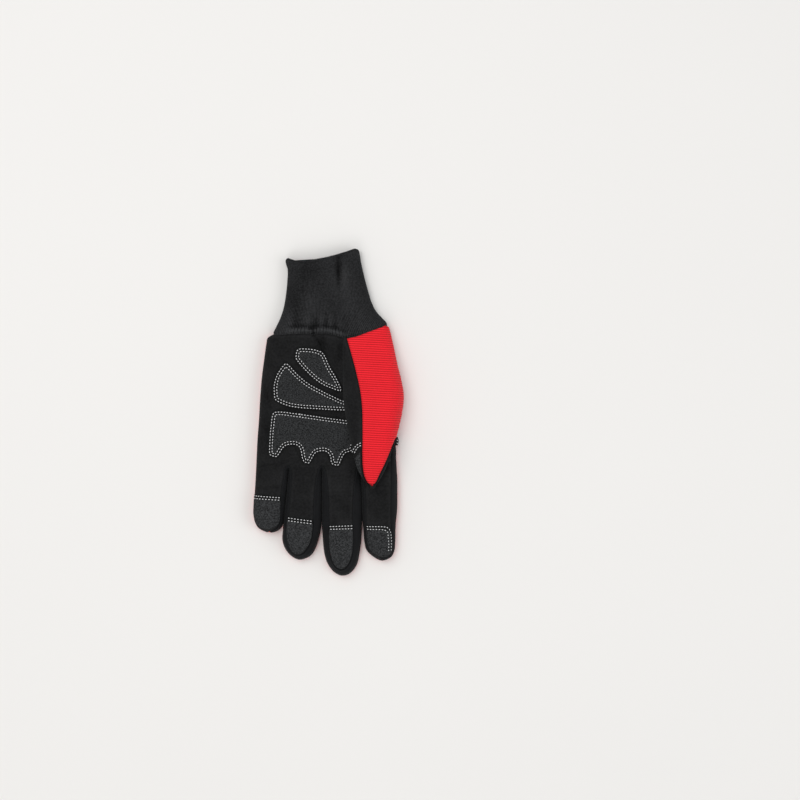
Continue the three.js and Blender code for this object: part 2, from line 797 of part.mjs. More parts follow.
// A plate that lies on a body, in a plan and between two heights.
function plateOn(makeBody, plan, thickness, low, high) {
  const layer = makeBody(-LAY_GAP - thickness).subtract(makeBody(-LAY_GAP));
  return layer.intersect(prism(plan, low, high));
}

const thumbRoom = thumbSolid(-LAY_GAP);
const padMiddle = HAND_THICKNESS / 2;
const fingerMiddle = FINGER_THICKNESS / 2;

const cuff = cuffSolid(0).subtract(cuffSolid(KNIT)).intersect(cuffSide);

const pieces = [
  ["knit_cuff", cuff, "knit"],
  ["palm_panel", palmPanel, "leather"],
  ["back_panel", lower, "fabric"],
  ["thumb_back", thumbBack, "fabric"],
  ["thumb_front", thumbFront, "leather"],
  ["little_ring_gusset", stripOf(0), "strip"],
  ["ring_middle_gusset", stripOf(1), "strip"],
  ["middle_index_gusset", stripOf(2), "strip"],
  ["index_side_strip", stripOf(3), "strip"],
];

for (const [name, rows] of Object.entries(PAD_PLANS)) {
  const pad = plateOn(handSolid, planPoints(rows), PAD_THICKNESS, padMiddle, SKY);
  pieces.push([name, pad.subtract(thumbRoom), "grip"]);
}

for (const [name, rows] of Object.entries(TIP_PLANS)) {
  const finger = (inset) => fingerSolid(name.replace("_tip", ""), inset);
  const patch = plateOn(finger, planPoints(rows), PATCH_THICKNESS, fingerMiddle, SKY);
  pieces.push([name, patch, "grip"]);
}

const thumbTipPlan = planPoints(THUMB_TIP_PLAN);
const thumbTip = plateOn(thumbSolid, thumbTipPlan, PATCH_THICKNESS, PALM_TOP, SKY);
pieces.push(["thumb_tip", thumbTip, "grip"]);

const webPatch = plateOn(
  handSolid,
  planPoints(WEB_PATCH_PLAN),
  PATCH_THICKNESS,
  WEB_PATCH_FROM * HAND_THICKNESS,
  WEB_PATCH_TO * HAND_THICKNESS,
).subtract(thumbRoom);
pieces.push(["web_patch", webPatch, "grip"]);

// Triangles with no height are turned into their neighbour across their longest edge.
function withoutFlats(positions, triangles) {
  const point = (i) => new THREE.Vector3().fromArray(positions, 3 * i);
  const faces = [];
  for (let i = 0; i < triangles.length; i += 3) {
    const face = [...triangles.slice(i, i + 3)];
    if (new Set(face).size === 3) faces.push(face);
  }
  const longestEdge = (face) => {
    const lengths = face.map((a, k) => point(a).distanceTo(point(face[(k + 1) % 3])));
    return lengths.indexOf(Math.max(...lengths));
  };
  const heightOf = (face) => {
    const [a, b, c] = face.map(point);
    const k = longestEdge(face);
    const edge = point(face[k]).distanceTo(point(face[(k + 1) % 3]));
    return b.sub(a).cross(c.sub(a)).length() / edge;
  };
  for (let turn = 0; turn < FLAT_ROUNDS; turn++) {
    const flats = faces.filter((face) => heightOf(face) < FLAT_HEIGHT);
    if (!flats.length) break;
    for (const face of flats) {
      if (heightOf(face) >= FLAT_HEIGHT) continue;
      const k = longestEdge(face);
      const [a, c, b] = [face[k], face[(k + 1) % 3], face[(k + 2) % 3]];
      const other = faces.find((f) => f.some((p, j) => p === c && f[(j + 1) % 3] === a));
      if (!other || other === face) continue;
      const d = other.find((p) => p !== a && p !== c);
      face.splice(0, 3, a, d, b);
      other.splice(0, 3, d, c, b);
    }
  }
  return new Uint32Array(faces.flat());
}

const LOOKS = {
  knit: new THREE.MeshStandardMaterial({ color: 0x1b1c1e, roughness: 0.95, metalness: 0 }),
  leather: new THREE.MeshStandardMaterial({ color: 0x161617, roughness: 0.85, metalness: 0 }),
  strip: new THREE.MeshStandardMaterial({ color: 0x15171a, roughness: 0.8, metalness: 0 }),
  grip: new THREE.MeshStandardMaterial({ color: 0x2b2c2e, roughness: 0.7, metalness: 0 }),
  fabric: new THREE.MeshStandardMaterial({ color: 0xe4202c, roughness: 0.8, metalness: 0 }),
};

const glove = new THREE.Group();
for (const [name, solid, look] of pieces) {
  const made = mainBody(solid).simplify(SLIVER).getMesh();
  const bare = new THREE.BufferGeometry();
  bare.setAttribute("position", new THREE.BufferAttribute(made.vertProperties, 3));
  bare.setIndex(new THREE.BufferAttribute(made.triVerts, 1));
  // Points are rounded together twice, the second time with the rounding's steps moved on.
  const once = mergeVertices(bare, SLIVER).translate(SLIVER / 2, SLIVER / 3, SLIVER / 4);
  const geometry = mergeVertices(once, SLIVER).translate(-SLIVER / 2, -SLIVER / 3, -SLIVER / 4);
  const faces = withoutFlats(geometry.attributes.position.array, geometry.index.array);
  geometry.setIndex(new THREE.BufferAttribute(faces, 1));
  geometry.computeVertexNormals();
  const mesh = new THREE.Mesh(geometry, LOOKS[look]);
  mesh.name = name;
  glove.add(mesh);
}

// The glove stands on the table, centred on it.
const bounds = new THREE.Box3().setFromObject(glove);
const middle = bounds.getCenter(new THREE.Vector3());
glove.position.set(-middle.x, -middle.y, -bounds.min.z);

export default glove;
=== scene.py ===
"""A left-hand work glove that lies palm up on a table, its thumb folded over the palm.

The tables are millimetres of the frame: +Y runs from the fingertips to the cuff's mouth, +X to
the thumb's side and +Z up. Every surface is worked out on a grid of two parameters.
"""

import math

import bmesh
import bpy
import numpy as np
from bpy.props import FloatProperty, FloatVectorProperty, IntProperty, PointerProperty
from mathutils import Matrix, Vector


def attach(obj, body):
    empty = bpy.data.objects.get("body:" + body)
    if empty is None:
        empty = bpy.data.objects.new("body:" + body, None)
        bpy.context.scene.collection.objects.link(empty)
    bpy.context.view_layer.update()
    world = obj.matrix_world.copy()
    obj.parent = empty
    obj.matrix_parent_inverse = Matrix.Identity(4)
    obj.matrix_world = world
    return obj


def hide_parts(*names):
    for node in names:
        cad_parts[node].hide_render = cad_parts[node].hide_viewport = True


bl_info = {
    "name": "Work glove",
    "version": (1, 0, 0),
    "blender": (4, 5, 0),
    "location": "3D View > Sidebar > Glove",
    "description": "Builds a work glove that lies palm up with its thumb folded over",
    "category": "Object",
}

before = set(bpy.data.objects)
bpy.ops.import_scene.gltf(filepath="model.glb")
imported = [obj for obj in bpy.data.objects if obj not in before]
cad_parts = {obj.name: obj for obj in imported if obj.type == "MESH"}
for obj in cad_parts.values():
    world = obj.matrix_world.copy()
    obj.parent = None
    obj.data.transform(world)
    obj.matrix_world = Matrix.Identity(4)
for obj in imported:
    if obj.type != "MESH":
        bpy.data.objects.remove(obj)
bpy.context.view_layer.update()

MM = 0.001
FINGERS = ("little", "ring", "middle", "index")

# The hand's silhouette from the wrist down, both sides.
HAND_LEFT = [
    (-44.7, 81.9), (-44.7, 71.3), (-44.9, 64.2), (-50.1, 61), (-51.2, 55.7), (-52.8, 44.2),
    (-54.9, 27.8), (-56.3, 9.8), (-57.2, -6.6), (-58.3, -20.6), (-58.8, -30.4), (-59.2, -38.6),
]
HAND_RIGHT = [
    (45.9, 81.9), (47.1, 71.3), (49.1, 64.2), (51.6, 57.3), (54.9, 39.3), (58, 26.2),
    (59.9, 14.7), (59.4, 4), (57.2, -12.4), (55.5, -23.8), (55.1, -30.4), (55.5, -38.6),
]
# Where the silhouettes of two fingers meet, and where the front panel's notch ends.
CROTCHES = [(-32.9, -47.5), (-5.6, -47.5), (26, -47.5)]
NOTCHES = [(-32.9, -44.3), (-5.5, -44.3), (26, -44.3)]
INDEX_ROOT = (51.7, -41.7)

# Each finger's silhouette from its root to its tip, and its front panel's edges.
SIDES = {
    "little": (
        [(-59.6, -48.1), (-60.3, -60.7), (-61.3, -75.5), (-61.6, -84.5), (-60.4, -90.7),
         (-57.6, -95.2), (-52.1, -98.2)],
        [(-33, -48.6), (-34, -60.7), (-35.7, -75.5), (-36.5, -84.5), (-37.3, -90.7),
         (-39.6, -95.2), (-44.7, -98.2)],
    ),
    "ring": (
        [(-32.8, -48.6), (-33.9, -60.7), (-35.9, -79.6), (-37.1, -96.8), (-37.5, -105),
         (-35.5, -111.6), (-31.2, -117.3), (-26.2, -120.4)],
        [(-5.7, -48.6), (-5.6, -60.7), (-5.7, -79.6), (-7, -96.8), (-8.8, -105),
         (-11.1, -111.6), (-14.8, -117.3), (-20.6, -120.4)],
    ),
    "middle": (
        [(-5.5, -48.6), (-5.5, -64), (-5.5, -82), (-4.4, -103.4), (-2.9, -116.5),
         (-0.2, -124.7), (4.3, -130.8), (9.1, -133.7)],
        [(25.9, -48.6), (26.9, -64), (27.3, -80), (26.4, -103.4), (24.8, -116.5),
         (22.9, -124.7), (18.8, -130.8), (14.3, -133.7)],
    ),
    "index": (
        [(26.1, -48.6), (26.8, -60.7), (27.4, -77.1), (28.9, -96.8), (29.9, -106.7),
         (31.6, -113.2), (36.8, -118.5), (41.9, -121.3)],
        [(56, -48.6), (56.4, -60.7), (56.3, -77.1), (54.9, -96.8), (54.6, -106.7),
         (54.2, -113.2), (51.9, -118.5), (47.1, -121.3)],
    ),
}
TIPS = {
    "little": (-48.4, -98.7), "ring": (-23.4, -120.9), "middle": (11.7, -134),
    "index": (44.5, -121.7),
}
FRONTS = {
    "little": (
        [],
        [(-35.3, -46.8), (-35.8, -52.5), (-37, -59.1), (-38.2, -70.6), (-38.5, -84.5),
         (-39.6, -91.1), (-42.2, -95.4), (-48.4, -98.7)],
    ),
    "ring": (
        [(-30.8, -46.8), (-30.6, -52.5), (-30.8, -59.1), (-32.1, -72.2), (-33.5, -86.1),
         (-34.3, -95.2), (-33.7, -105.3), (-31.2, -113.2), (-27, -117)],
        [(-7.5, -46.8), (-8.9, -52.5), (-10.1, -59.1), (-11.2, -72.2), (-11.7, -86.1),
         (-12.2, -96.8), (-14, -106.6), (-17.3, -112.9), (-22, -116.9), (-27, -117)],
    ),
    "middle": (
        [(-3.4, -46.8), (-1.9, -52.5), (-1.1, -59.1), (-0.4, -72.2), (-0.2, -86.1),
         (0.1, -106.6), (1.7, -119.8), (5.7, -127.3), (11.1, -129.6)],
        [(23.9, -46.8), (22.7, -52.5), (21.7, -59.1), (20.8, -72.2), (20.6, -86.1),
         (20.7, -105), (19.9, -117.3), (16.5, -125.8), (11.1, -129.6)],
    ),
    "index": (
        [(28.1, -46.8), (28.8, -52.5), (29.3, -59.1), (29.8, -72.2), (30.3, -86.2),
         (30.9, -103.4), (32.9, -111.3), (37.3, -116), (43, -119)],
        [(51.7, -50), (51.7, -59.1), (51.6, -86.2), (51.9, -106), (51.4, -114),
         (48.8, -118), (43, -119)],
    ),
}
# The palm's edge along the thumb and across the web to the index finger.
PALM_RIGHT = [
    (13, 61.2), (14, 37), (14.4, 19.6), (15.6, 4), (18, -12), (21, -18.6), (28, -20.2),
    (40, -20.2), (49, -20.6), (51.4, -23), (51.7, -30), (51.7, -41.7),
]
# The seam between hand and cuff, and the cuff's mouth: across, along.
WRIST_SEAM = [
    (-60.3, 63.7), (-44.2, 63.7), (-38.9, 63.6), (-28.6, 64.2), (-20.1, 64.5), (-13.5, 63.4),
    (-7.5, 64.7), (-1.8, 64.5), (5.7, 63.1), (10.4, 61.5), (14.3, 60.3), (23.4, 62.3),
    (31.8, 65.5), (47.3, 71), (52.1, 72.6), (68.5, 77.8),
]
CUFF_MOUTH = [
    (-43, 122.4), (-36.4, 123.2), (-34.9, 125.2), (-33.2, 126), (-30.6, 124.9), (-27, 123.8),
    (-20.9, 124.3), (-11.1, 125), (-0.7, 127.1), (7.8, 129.2), (16, 131.6), (21.4, 133.7),
    (24.2, 133.2), (30.7, 132),
]
# Along the cuff: left side, right side, height.
CUFF = [
    (54.9, -49.5, 52.4, 13.4), (63.9, -45.8, 50.8, 13.4), (73.3, -40.8, 48.2, 13.3),
    (81.1, -37.6, 41, 13.1), (91, -35.2, 35.5, 13), (103.3, -33.7, 31.9, 12.9),
    (115.6, -33, 28.4, 12.7), (120, -34.4, 27.4, 12.6), (123, -36.6, 26.6, 12.6),
    (133.7, -35.5, 24.3, 12.5), (141, -35.5, 24, 12.5),
]
# Where the cuff's left and right sides start and end.
CUFF_LEFT = (63.7, 122.8)
CUFF_RIGHT = (71.3, 133.2)
# Along the hand: height of its top.
HAND_HEIGHT = [
    (-140, 14), (-60, 14.15), (-46.8, 14.4), (-27.9, 14.7), (-6.6, 14.8), (16.3, 14.85),
    (27.8, 15), (38.5, 15), (49.1, 14.5), (57.3, 13.95), (63.9, 13.4), (80, 13.4),
]
# Along the thumb: left side, right side, underside, top, height where the left wall meets the
# palm, height where the right side is widest.
THUMB = [
    (-62, 34.7, 37.3, 19.6, 23.6, 21.6, 21.6), (-59.1, 32.4, 39.3, 18.4, 25.2, 21.3, 21.3),
    (-55, 29.1, 42.1, 17.6, 26.3, 21.2, 21.2), (-46.8, 24.4, 46.5, 17.3, 27.2, 21.4, 21.4),
    (-35.3, 20.5, 50.9, 17.2, 28, 21.2, 21.6), (-28, 19.4, 53.8, 17, 28.2, 18.4, 19.4),
    (-23, 18, 55.2, 15.2, 28.2, 15.5, 14.6), (-12.4, 15.8, 57.8, 15, 28.2, 15.1, 12.3),
    (4, 12.9, 61.1, 15, 27.4, 15.1, 11.9), (14.7, 12.1, 61.7, 15, 26.4, 15.1, 11.4),
    (26.2, 11.9, 59.7, 14, 24.6, 15.1, 10.7), (39.3, 11.8, 56.5, 13, 21.6, 15.1, 9.4),
    (54.9, 11.8, 53.2, 12, 17.2, 14.4, 7.6), (67.2, 11.6, 50.3, 12, 13.9, 13.4, 6.2),
    (81.9, 11.6, 45.7, 12, 13.4, 13.2, 6),
]
THUMB_TIP = (36, -62.7)
RED_LEFT = [
    (14.9, 61.4), (17.9, 50.8), (22.4, 34.8), (26.4, 17.2), (28, 2.8), (28.3, -14.8),
    (28, -32.9), (28.2, -43.6), (29, -50.4), (30.4, -54.8), (32.5, -58), (35.6, -59.3),
]
RED_RIGHT = [
    (46.6, 70.8), (48.8, 70), (50, 67.6), (53.2, 54.9), (56.5, 39.3), (59.7, 26.2), (61.7, 14.7),
    (61.1, 4), (57.8, -12.4), (55.4, -21), (52.9, -27.4), (49.8, -35), (46.4, -42.6),
    (42, -51.4), (40.2, -55.4), (38.4, -58.2), (35.6, -59.3),
]
# Soft dents: across, along, half width, half length, depth.
PALM_DENTS = [
    (-5.3, 59, 4.1, 8.2, 1.05), (-23.4, 45.9, 16.4, 5.7, 0.45), (6.1, 9.8, 4.1, 32.8, 0.75),
    (-49.6, 9.8, 5.7, 36.9, 0.45), (-19.3, 1.6, 24.6, 4.1, 0.45), (-46, -62, 16, 2.2, 0.35),
    (-20, -74, 15, 2.4, 0.35), (10, -78, 15, 2.6, 0.4), (10, -52, 12, 2.4, 0.3),
    (-20, -50, 12, 2.2, 0.3), (41, -66, 13, 2.4, 0.35), (9.4, 52, 3.2, 8.5, 0.8),
    (-12.1, 62.2, 1.1, 1.8, 1.2), (-5.4, -45, 3.2, 2.6, 0.6), (-32.9, -45, 3, 2.4, 0.5),
    (26, -45, 3, 2.4, 0.5), (-50, -12, 4, 9, 0.35), (40, -38, 9, 3, 0.4),
]
# Creases of the palm: from across and along, to across and along, half width, depth.
PALM_CREASES = [
    (-11.2, 62.6, -6.8, 55.4, 0.9, 0.75), (-6.8, 55.4, -4.8, 48, 1.0, 0.4),
    (-40, 46, -30, 36, 1.4, 0.35), (-58, -62.5, -37, -60.5, 0.8, 0.3),
    (-32, -64, -11, -66, 0.9, 0.3), (0, -69, 20, -67.5, 0.9, 0.32),
    (30, -58.5, 51, -61, 0.9, 0.3), (-31, -79.5, -13, -78, 0.8, 0.25),
    (1, -84, 19, -86, 0.8, 0.25), (-57, -45, -36, -41.6, 1.1, 0.4),
    (30, -42, 50, -46.5, 1.1, 0.4), (-28, -46.8, -12, -45.6, 1, 0.35),
    (-1, -45.8, 19, -47.4, 1, 0.35), (-52, 22, -47.5, 4, 1.2, 0.4),
]
CUFF_DENTS = [
    (8, 115, 1.3, 11, 0.75), (8.6, 118, 3.4, 15, 0.7), (13.4, 112, 3, 12, -0.5),
    (-13.5, 68, 2.6, 6, 0.8), (-26.6, 91.8, 7.4, 14.8, 0.54), (-20, 108, 3, 12, 0.3),
    (-12, 65, 1, 1.6, 1.4),
]
THUMB_DENTS = [
    (30.7, 54.9, 7.4, 7.4, 0.85), (42.2, 5.7, 9.8, 13.1, -0.56), (37.3, -41.1, 4.9, 6.6, 0.56),
    (34, 26, 5, 22, 0.35), (47, 34, 4, 16, 0.35),
]

# Pads, each between its upper and its lower edge.
PADS = {
    "wrist_pad": (
        [(-27.4, 47), (-26.6, 50.6), (-23.7, 52.7), (-18.4, 52.8), (-13.2, 52.4), (-8.6, 51.3),
         (-4.8, 49.6), (-2.4, 47.2), (2.5, 36.5), (7.5, 28.2), (11.6, 19.6), (11.6, 17.6)],
        [(-27.4, 47), (-27.5, 43.4), (-23.4, 37.7), (-15.8, 29.8), (-7.3, 22.9), (1.4, 18.6),
         (10.6, 16.2), (11.6, 17.6)],
    ),
    "heel_pad": (
        [(-44.6, 10.6), (-45.2, 15.1), (-45.2, 22.1), (-43, 30), (-39.6, 35.9), (-36, 40),
         (-34, 40.4), (-30.9, 38.2), (-22.9, 30.1), (-14.5, 23.5), (-6.3, 19), (1.9, 14.8),
         (10.7, 10.8), (16.6, 8.4), (18.6, 5)],
        [(-44.6, 10.6), (-43.2, 8.6), (-39.9, 6.7), (-32.9, 4), (-22.7, 2.3), (-10.1, 1.5),
         (1.6, 0.7), (10.6, 0.3), (16.6, 1), (18.6, 5)],
    ),
    "knuckle_pad": (
        [(-49, -34.2), (-48.8, -23.2), (-47.9, -12.3), (-46.4, -2), (-45, 0.4),
         (-42.6, 1.2), (-38, 1.3), (-23, -0.7), (-9.6, -2.5), (2, -4.1), (13.5, -5.6),
         (18.4, -6.6), (21.4, -9.4), (22.6, -17)],
        [(-49, -34.2), (-48, -36), (-45.4, -37.2), (-42, -37.6), (-39.4, -35.2),
         (-37, -31.4), (-34.6, -28.7), (-31.8, -27.7), (-27.2, -27.7), (-24.8, -28.9),
         (-23.4, -32), (-22.3, -38), (-20.6, -41.4), (-18.4, -42.6), (-15.4, -42.8),
         (-13.4, -40.4), (-11.3, -36.6), (-9, -33.8), (-6, -33), (-2.7, -33.1),
         (-0.4, -34.6), (0.8, -37.4), (1.2, -40.6), (2.6, -43.2), (5.2, -44.4), (8, -44.7),
         (10, -43.2), (11.6, -39.4), (13.1, -36.2), (14.9, -34.2), (17.4, -33.4),
         (20.6, -31.6), (22.4, -25), (22.6, -17)],
    ),
}
# Grip patches on the fingertips, each between its left and its right edge, from its sewn edge.
PATCHES = {
    "little_tip": (
        [(-60.4, -67.6), (-60.8, -76), (-60.9, -84), (-59.4, -89.6), (-56.6, -93.2),
         (-51.8, -95.5), (-49.4, -95.7)],
        [(-39, -69.2), (-39.2, -77), (-39.4, -84.5), (-40.4, -90.7), (-43, -93.6),
         (-47, -95.5), (-49.4, -95.7)],
    ),
    "ring_tip": (
        [(-33.3, -85.7), (-34, -95.2), (-33.5, -104.7), (-30.8, -112.4), (-26.5, -116.2)],
        [(-12.6, -88.1), (-12.8, -96.8), (-14.6, -105.6), (-18, -111.8), (-22.4, -115.8),
         (-26.5, -116.2)],
    ),
    "middle_tip": (
        [(0.5, -92.9), (0.6, -106.7), (2.3, -118.4), (5.9, -125.9), (10.9, -128.4)],
        [(20.2, -92.1), (20.3, -105), (19.3, -116), (16, -124.6), (10.9, -128.4)],
    ),
    "index_tip": (
        [(31, -92.7), (31.5, -103.4), (33.3, -111.1), (37.6, -115.8), (42.7, -118.3)],
        [(48.6, -93.5), (50.6, -95.6), (51.4, -99), (52, -105), (51.9, -113), (49, -117.6),
         (42.7, -118.3)],
    ),
}
# Stitch rows across the fingertips.
TIP_ROWS = [
    [(-60.2, -68.6), (-39.6, -70)], [(-60, -70.8), (-39.9, -72)],
    [(-32.8, -86.6), (-13.2, -89.2)], [(-32.8, -88.8), (-13.4, -91.3)],
    [(1, -93.6), (19.8, -92.9)], [(1.4, -95.8), (19.9, -95.2)],
    [(31.6, -93.5), (48.2, -94.5), (49.8, -96.6), (50.6, -100), (51, -105), (50.7, -113.6)],
    [(31.9, -95.7), (46.6, -96.7), (48.1, -98.4), (48.6, -103), (49, -107), (48.8, -114)],
]
# Stitch rows of the thumb's patch.
THUMB_ROWS = [
    [(27.6, -24.6), (24.6, -26.4), (22, -29.6), (20.5, -33.2)],
    [(27.6, -26.8), (25.6, -27.9), (23.6, -30.4), (22.2, -33.6)],
]
BACKTACK = [(-23.2, -0.9), (-22.8, -4.6)]
# How far inside a pad's edge, and inside a patch's sewn edge, the two stitch rows run.
PAD_ROWS = (1.4, 3.5)
PATCH_ROWS = (1.0, 3.1)
# The thumb patch's left and right edges.
THUMB_PATCH = (
    [(27.2, -25), (27.3, -33), (27.9, -45.2), (29.9, -54.2), (33, -58.9)],
    [(20.9, -34.2), (24.6, -46.4), (29.4, -55), (32.6, -58.9), (34.4, -61.4)],
)
# The web patch: how far out it stands, its middle and half length along, its top and its drop.
WEB_OUT = 57.6
WEB_MIDDLE = -24
WEB_HALF = 3.4
WEB_TOP = 11.8
WEB_DROP = 9.6
WEB_STITCH_ROWS = (-23.2, -25.6)

# Where the little finger's front panel and its silhouette start, and the index finger's side.
LITTLE_FRONT_ROOT = (-59.3, -41.7)
LITTLE_ROOT = (-59.4, -43)
INDEX_SIDE_ROOT = (55.8, -43)
# Where the index finger's side strip ends under the thumb: its inner and its outer edge.
STRIP_INNER_END = [(51, -24.4)]
STRIP_OUTER_END = [(55.5, -38.6), (55, -29), (53.6, -22)]
# The hand's corners at the wrist, and where the lines between the fingers start there.
WRIST_LEFT = [(-46, 63.7), (-50.1, 61)]
WRIST_RIGHT = [(46.4, 70.4), (48.4, 68.6), (49.4, 65)]
WRIST_LINES = [(-28, 63.5), (-10, 63.5), (2, 62.5)]
# Where the thumb's wall starts at the wrist, its border at the web, its underside at both sides.
WALL_START = (11.9, 60.6)
BORDER_START = (53.5, -27.3)
UNDERSIDE_START = [(19.2, -22.6), (55.2, -22.6)]

# How far short of the seam at the wrist the hand's panels end.
SEAM_STEP = 0.4
# How far the panels at the side reach over the back's seam, and the strips between fingers.
PANEL_LAP = 0.3
STRIP_LAP = 0.25
# A strip is left out where it is narrower than this.
STRIP_LEAST = 0.33
# How far in from the silhouette the hand, the thumb and the thumb's underside turn level.
EDGE_ROUND = 10.5
THUMB_ROUND = 12
UNDERSIDE_ROUND = 9
# The share of its height at which the hand is widest, and the height of the back's seam.
WIDEST = 0.42
BACK_SEAM = 4.9
# Nearer the tip than this the thumb is free of the palm.
THUMB_FREE = -22
# The radius of the cuff's corners, the height of its middle and how far its start is drawn in.
CUFF_CORNER = 10
CUFF_MIDDLE = 6.3
CUFF_TUCKED = 2.2
# A row of points that spreads less than this is one point.
POLE = 0.05
# Points nearer to each other than this are welded.
WELD = 0.02
# Short steps of a smooth curve from each of its points to the next.
FINE = 16

# The stage, in metres: place, size, power and tint of each lamp.
LAMPS = {
    "sky panel": ((-0.5, 0.6, 1.9), 1.8, 21, (1, 1, 1)),
    "window panel": ((1.5, -0.3, 1.4), 1.4, 9, (0.96, 0.98, 1)),
    "fill panel": ((-0.6, -1.3, 1.5), 1.4, 6, (1, 0.99, 0.97)),
}
ROOM_TINT = (0.97, 0.98, 1, 1)
ROOM_LIGHT = 0.54
# The camera looks straight down; the picture is this wide at this place.
LENS, SENSOR = 85, 36
PICTURE_WIDTH = 0.656
PICTURE_CENTRE = (0.0586, 0.0098, 0.008)


def smooth(points, closed=False):
    """A smooth curve through the points, in short steps from each to the next.

    Between two points it is a cubic whose slope at each point is the mean of the slopes beside
    it, weighted by the square root of their lengths.
    """
    p = np.asarray(points, float)
    if closed:
        p = np.vstack([p[-2:], p, p[:3]])
    step = np.sqrt(np.linalg.norm(np.diff(p, axis=0), axis=1))[:, None] + 1e-9
    slope = np.diff(p, axis=0) / step
    inner = (slope[1:] * step[:-1] + slope[:-1] * step[1:]) / (step[1:] + step[:-1])
    tangent = np.vstack([slope[:1], inner, slope[-1:]])
    t = np.linspace(0, 1, FINE, endpoint=False)[None, :, None]
    a, b = p[:-1, None], p[1:, None]
    ta, tb = (tangent[:-1] * step)[:, None], (tangent[1:] * step)[:, None]
    fine = (
        a * (2 * t**3 - 3 * t**2 + 1) + ta * (t**3 - 2 * t**2 + t)
        + b * (3 * t**2 - 2 * t**3) + tb * (t**3 - t**2)
    )
    if closed:
        fine = fine[2:-2]
    return np.vstack([fine.reshape(-1, p.shape[1]), p[2] if closed else p[-1]])


def lengths_along(line):
    """How far along a run of points each of them lies."""
    return np.r_[0, np.cumsum(np.linalg.norm(np.diff(line, axis=0), axis=1))]


def sampled(line, lengths, at):
    """A run's points at the given lengths along it."""
    return np.column_stack([np.interp(at, lengths, column) for column in line.T])


def even(line, count):
    """A run of points taken again at evenly spaced lengths."""
    lengths = lengths_along(line)
    return sampled(line, lengths, np.linspace(0, lengths[-1], count))


def curve(points, count):
    """A smooth curve through the points, taken at evenly spaced lengths."""
    return even(smooth(points), count)


def halves(left, right, count, other=None):
    """The two sides of one smooth curve that runs up the left points and down the right ones.

    Both lists end in the same point, the tip, so the curve is round there.
    """
    fine = smooth([*left, *right[-2::-1]])
    tip = (len(left) - 1) * FINE
    return even(fine[:tip + 1], count), even(fine[tip:], other or count)[::-1]


def loop_halves(upper, lower, count):
    """The two sides of one smooth closed curve, whose lists share their first and last points."""
    fine = smooth([*upper, *lower[-2:0:-1]], True)
    far = (len(upper) - 1) * FINE
    return even(fine[:far + 1], count), even(fine[far:], count)[::-1]


def distance(points, line, closed=False):
    """Distance of each plan point from the nearest of a line's straight pieces."""
    a = line if closed else line[:-1]
    b = np.roll(line, -1, axis=0) if closed else line[1:]
    ab = b - a
    flat = np.asarray(points, float)[..., :2].reshape(-1, 2)
    near = np.empty(len(flat))
    for start in range(0, len(flat), 4000):
        ap = flat[start:start + 4000, None] - a
        share = np.clip((ap * ab).sum(-1) / ((ab * ab).sum(-1) + 1e-12), 0, 1)
        near[start:start + 4000] = np.linalg.norm(ap - share[..., None] * ab, axis=-1).min(1)
    return near.reshape(np.shape(points)[:-1])


def table(rows, y, column):
    """A column of a table whose first column rises, read at y."""
    rows = np.asarray(rows, float)
    return np.interp(y, rows[:, 0], rows[:, column])


def soft_table(rows, y, column, reach=4.0):
    """The mean of a table's column at five places, from a reach before y to a reach after."""
    steps = (-reach, -reach / 2, 0, reach / 2, reach)
    return sum(table(rows, y + step, column) for step in steps) / len(steps)


def bell(x, centre, wide):
    """1 at the centre, 0 far off: e to the minus square of the distance in widths."""
    return np.exp(-(((x - centre) / wide) ** 2))


def crease_sum(plan, creases):
    """The depth of a list of straight creases, each a bell across its line and at its ends."""
    total = 0
    for x0, y0, x1, y1, wide, deep in creases:
        line = np.array([(x0, y0), (x1, y1)], float)
        total = total + deep * bell(distance(plan, line), 0, wide)
    return total


def bump_sum(x, y, dents):
    """The depth of a list of bell-shaped dents."""
    return sum(
        depth * bell(x, cx, wide) * bell(y, cy, long)
        for cx, cy, wide, long, depth in dents
    )


def rise(d, reach):
    """A quarter circle that climbs from 0 at the silhouette to 1 at the reach."""
    return np.sqrt(np.clip(1 - (1 - np.clip(d / reach, 0, 1)) ** 2, 0, 1))


def ease(x, start, end):
    """Goes smoothly from 0 at start to 1 at end."""
    t = np.clip((x - start) / (end - start), 0, 1)
    return t * t * (3 - 2 * t)


def waver(x, y):
    """A slow unevenness of cloth between -1 and 1: four waves that cross each other."""
    return (
        np.sin(x / 7.1 + 0.9 * np.sin(y / 11.3)) + np.sin(y / 8.7 + 1.7)
        + np.sin((x + y) / 5.3 + 0.6) + np.sin((x - 1.4 * y) / 12.1 + 2.2)
    ) / 4


def side_curves(name, count):
    """A finger's silhouette, left and right, from the crotches at its sides to its tip."""
    number = FINGERS.index(name)
    left = CROTCHES[number - 1] if number else LITTLE_ROOT
    right = CROTCHES[number] if number < 3 else INDEX_SIDE_ROOT
    tip = TIPS[name]
    return halves([left, *SIDES[name][0], tip], [right, *SIDES[name][1], tip], count)


def front_curves(name, count):
    """A finger's front panel edges, left and right, from the notches to its tip."""
    number = FINGERS.index(name)
    right = [INDEX_ROOT if number == 3 else NOTCHES[number], *FRONTS[name][1]]
    if number:
        return halves([NOTCHES[number - 1], *FRONTS[name][0]], right, count)
    left = [LITTLE_FRONT_ROOT, *SIDES[name][0], TIPS[name]]
    far = [CROTCHES[0], *SIDES[name][1], TIPS[name]]
    return halves(left, far, count)[0], curve(right, count)


def hand_outline():
    """The hand's whole silhouette, open at the wrist."""
    runs = [curve(HAND_LEFT, 90)]
    for name in FINGERS:
        left, right = side_curves(name, 90)
        runs += [left, right[::-1]]
    runs.append(curve(HAND_RIGHT, 90)[::-1])
    return np.vstack(runs)


OUTLINE = hand_outline()


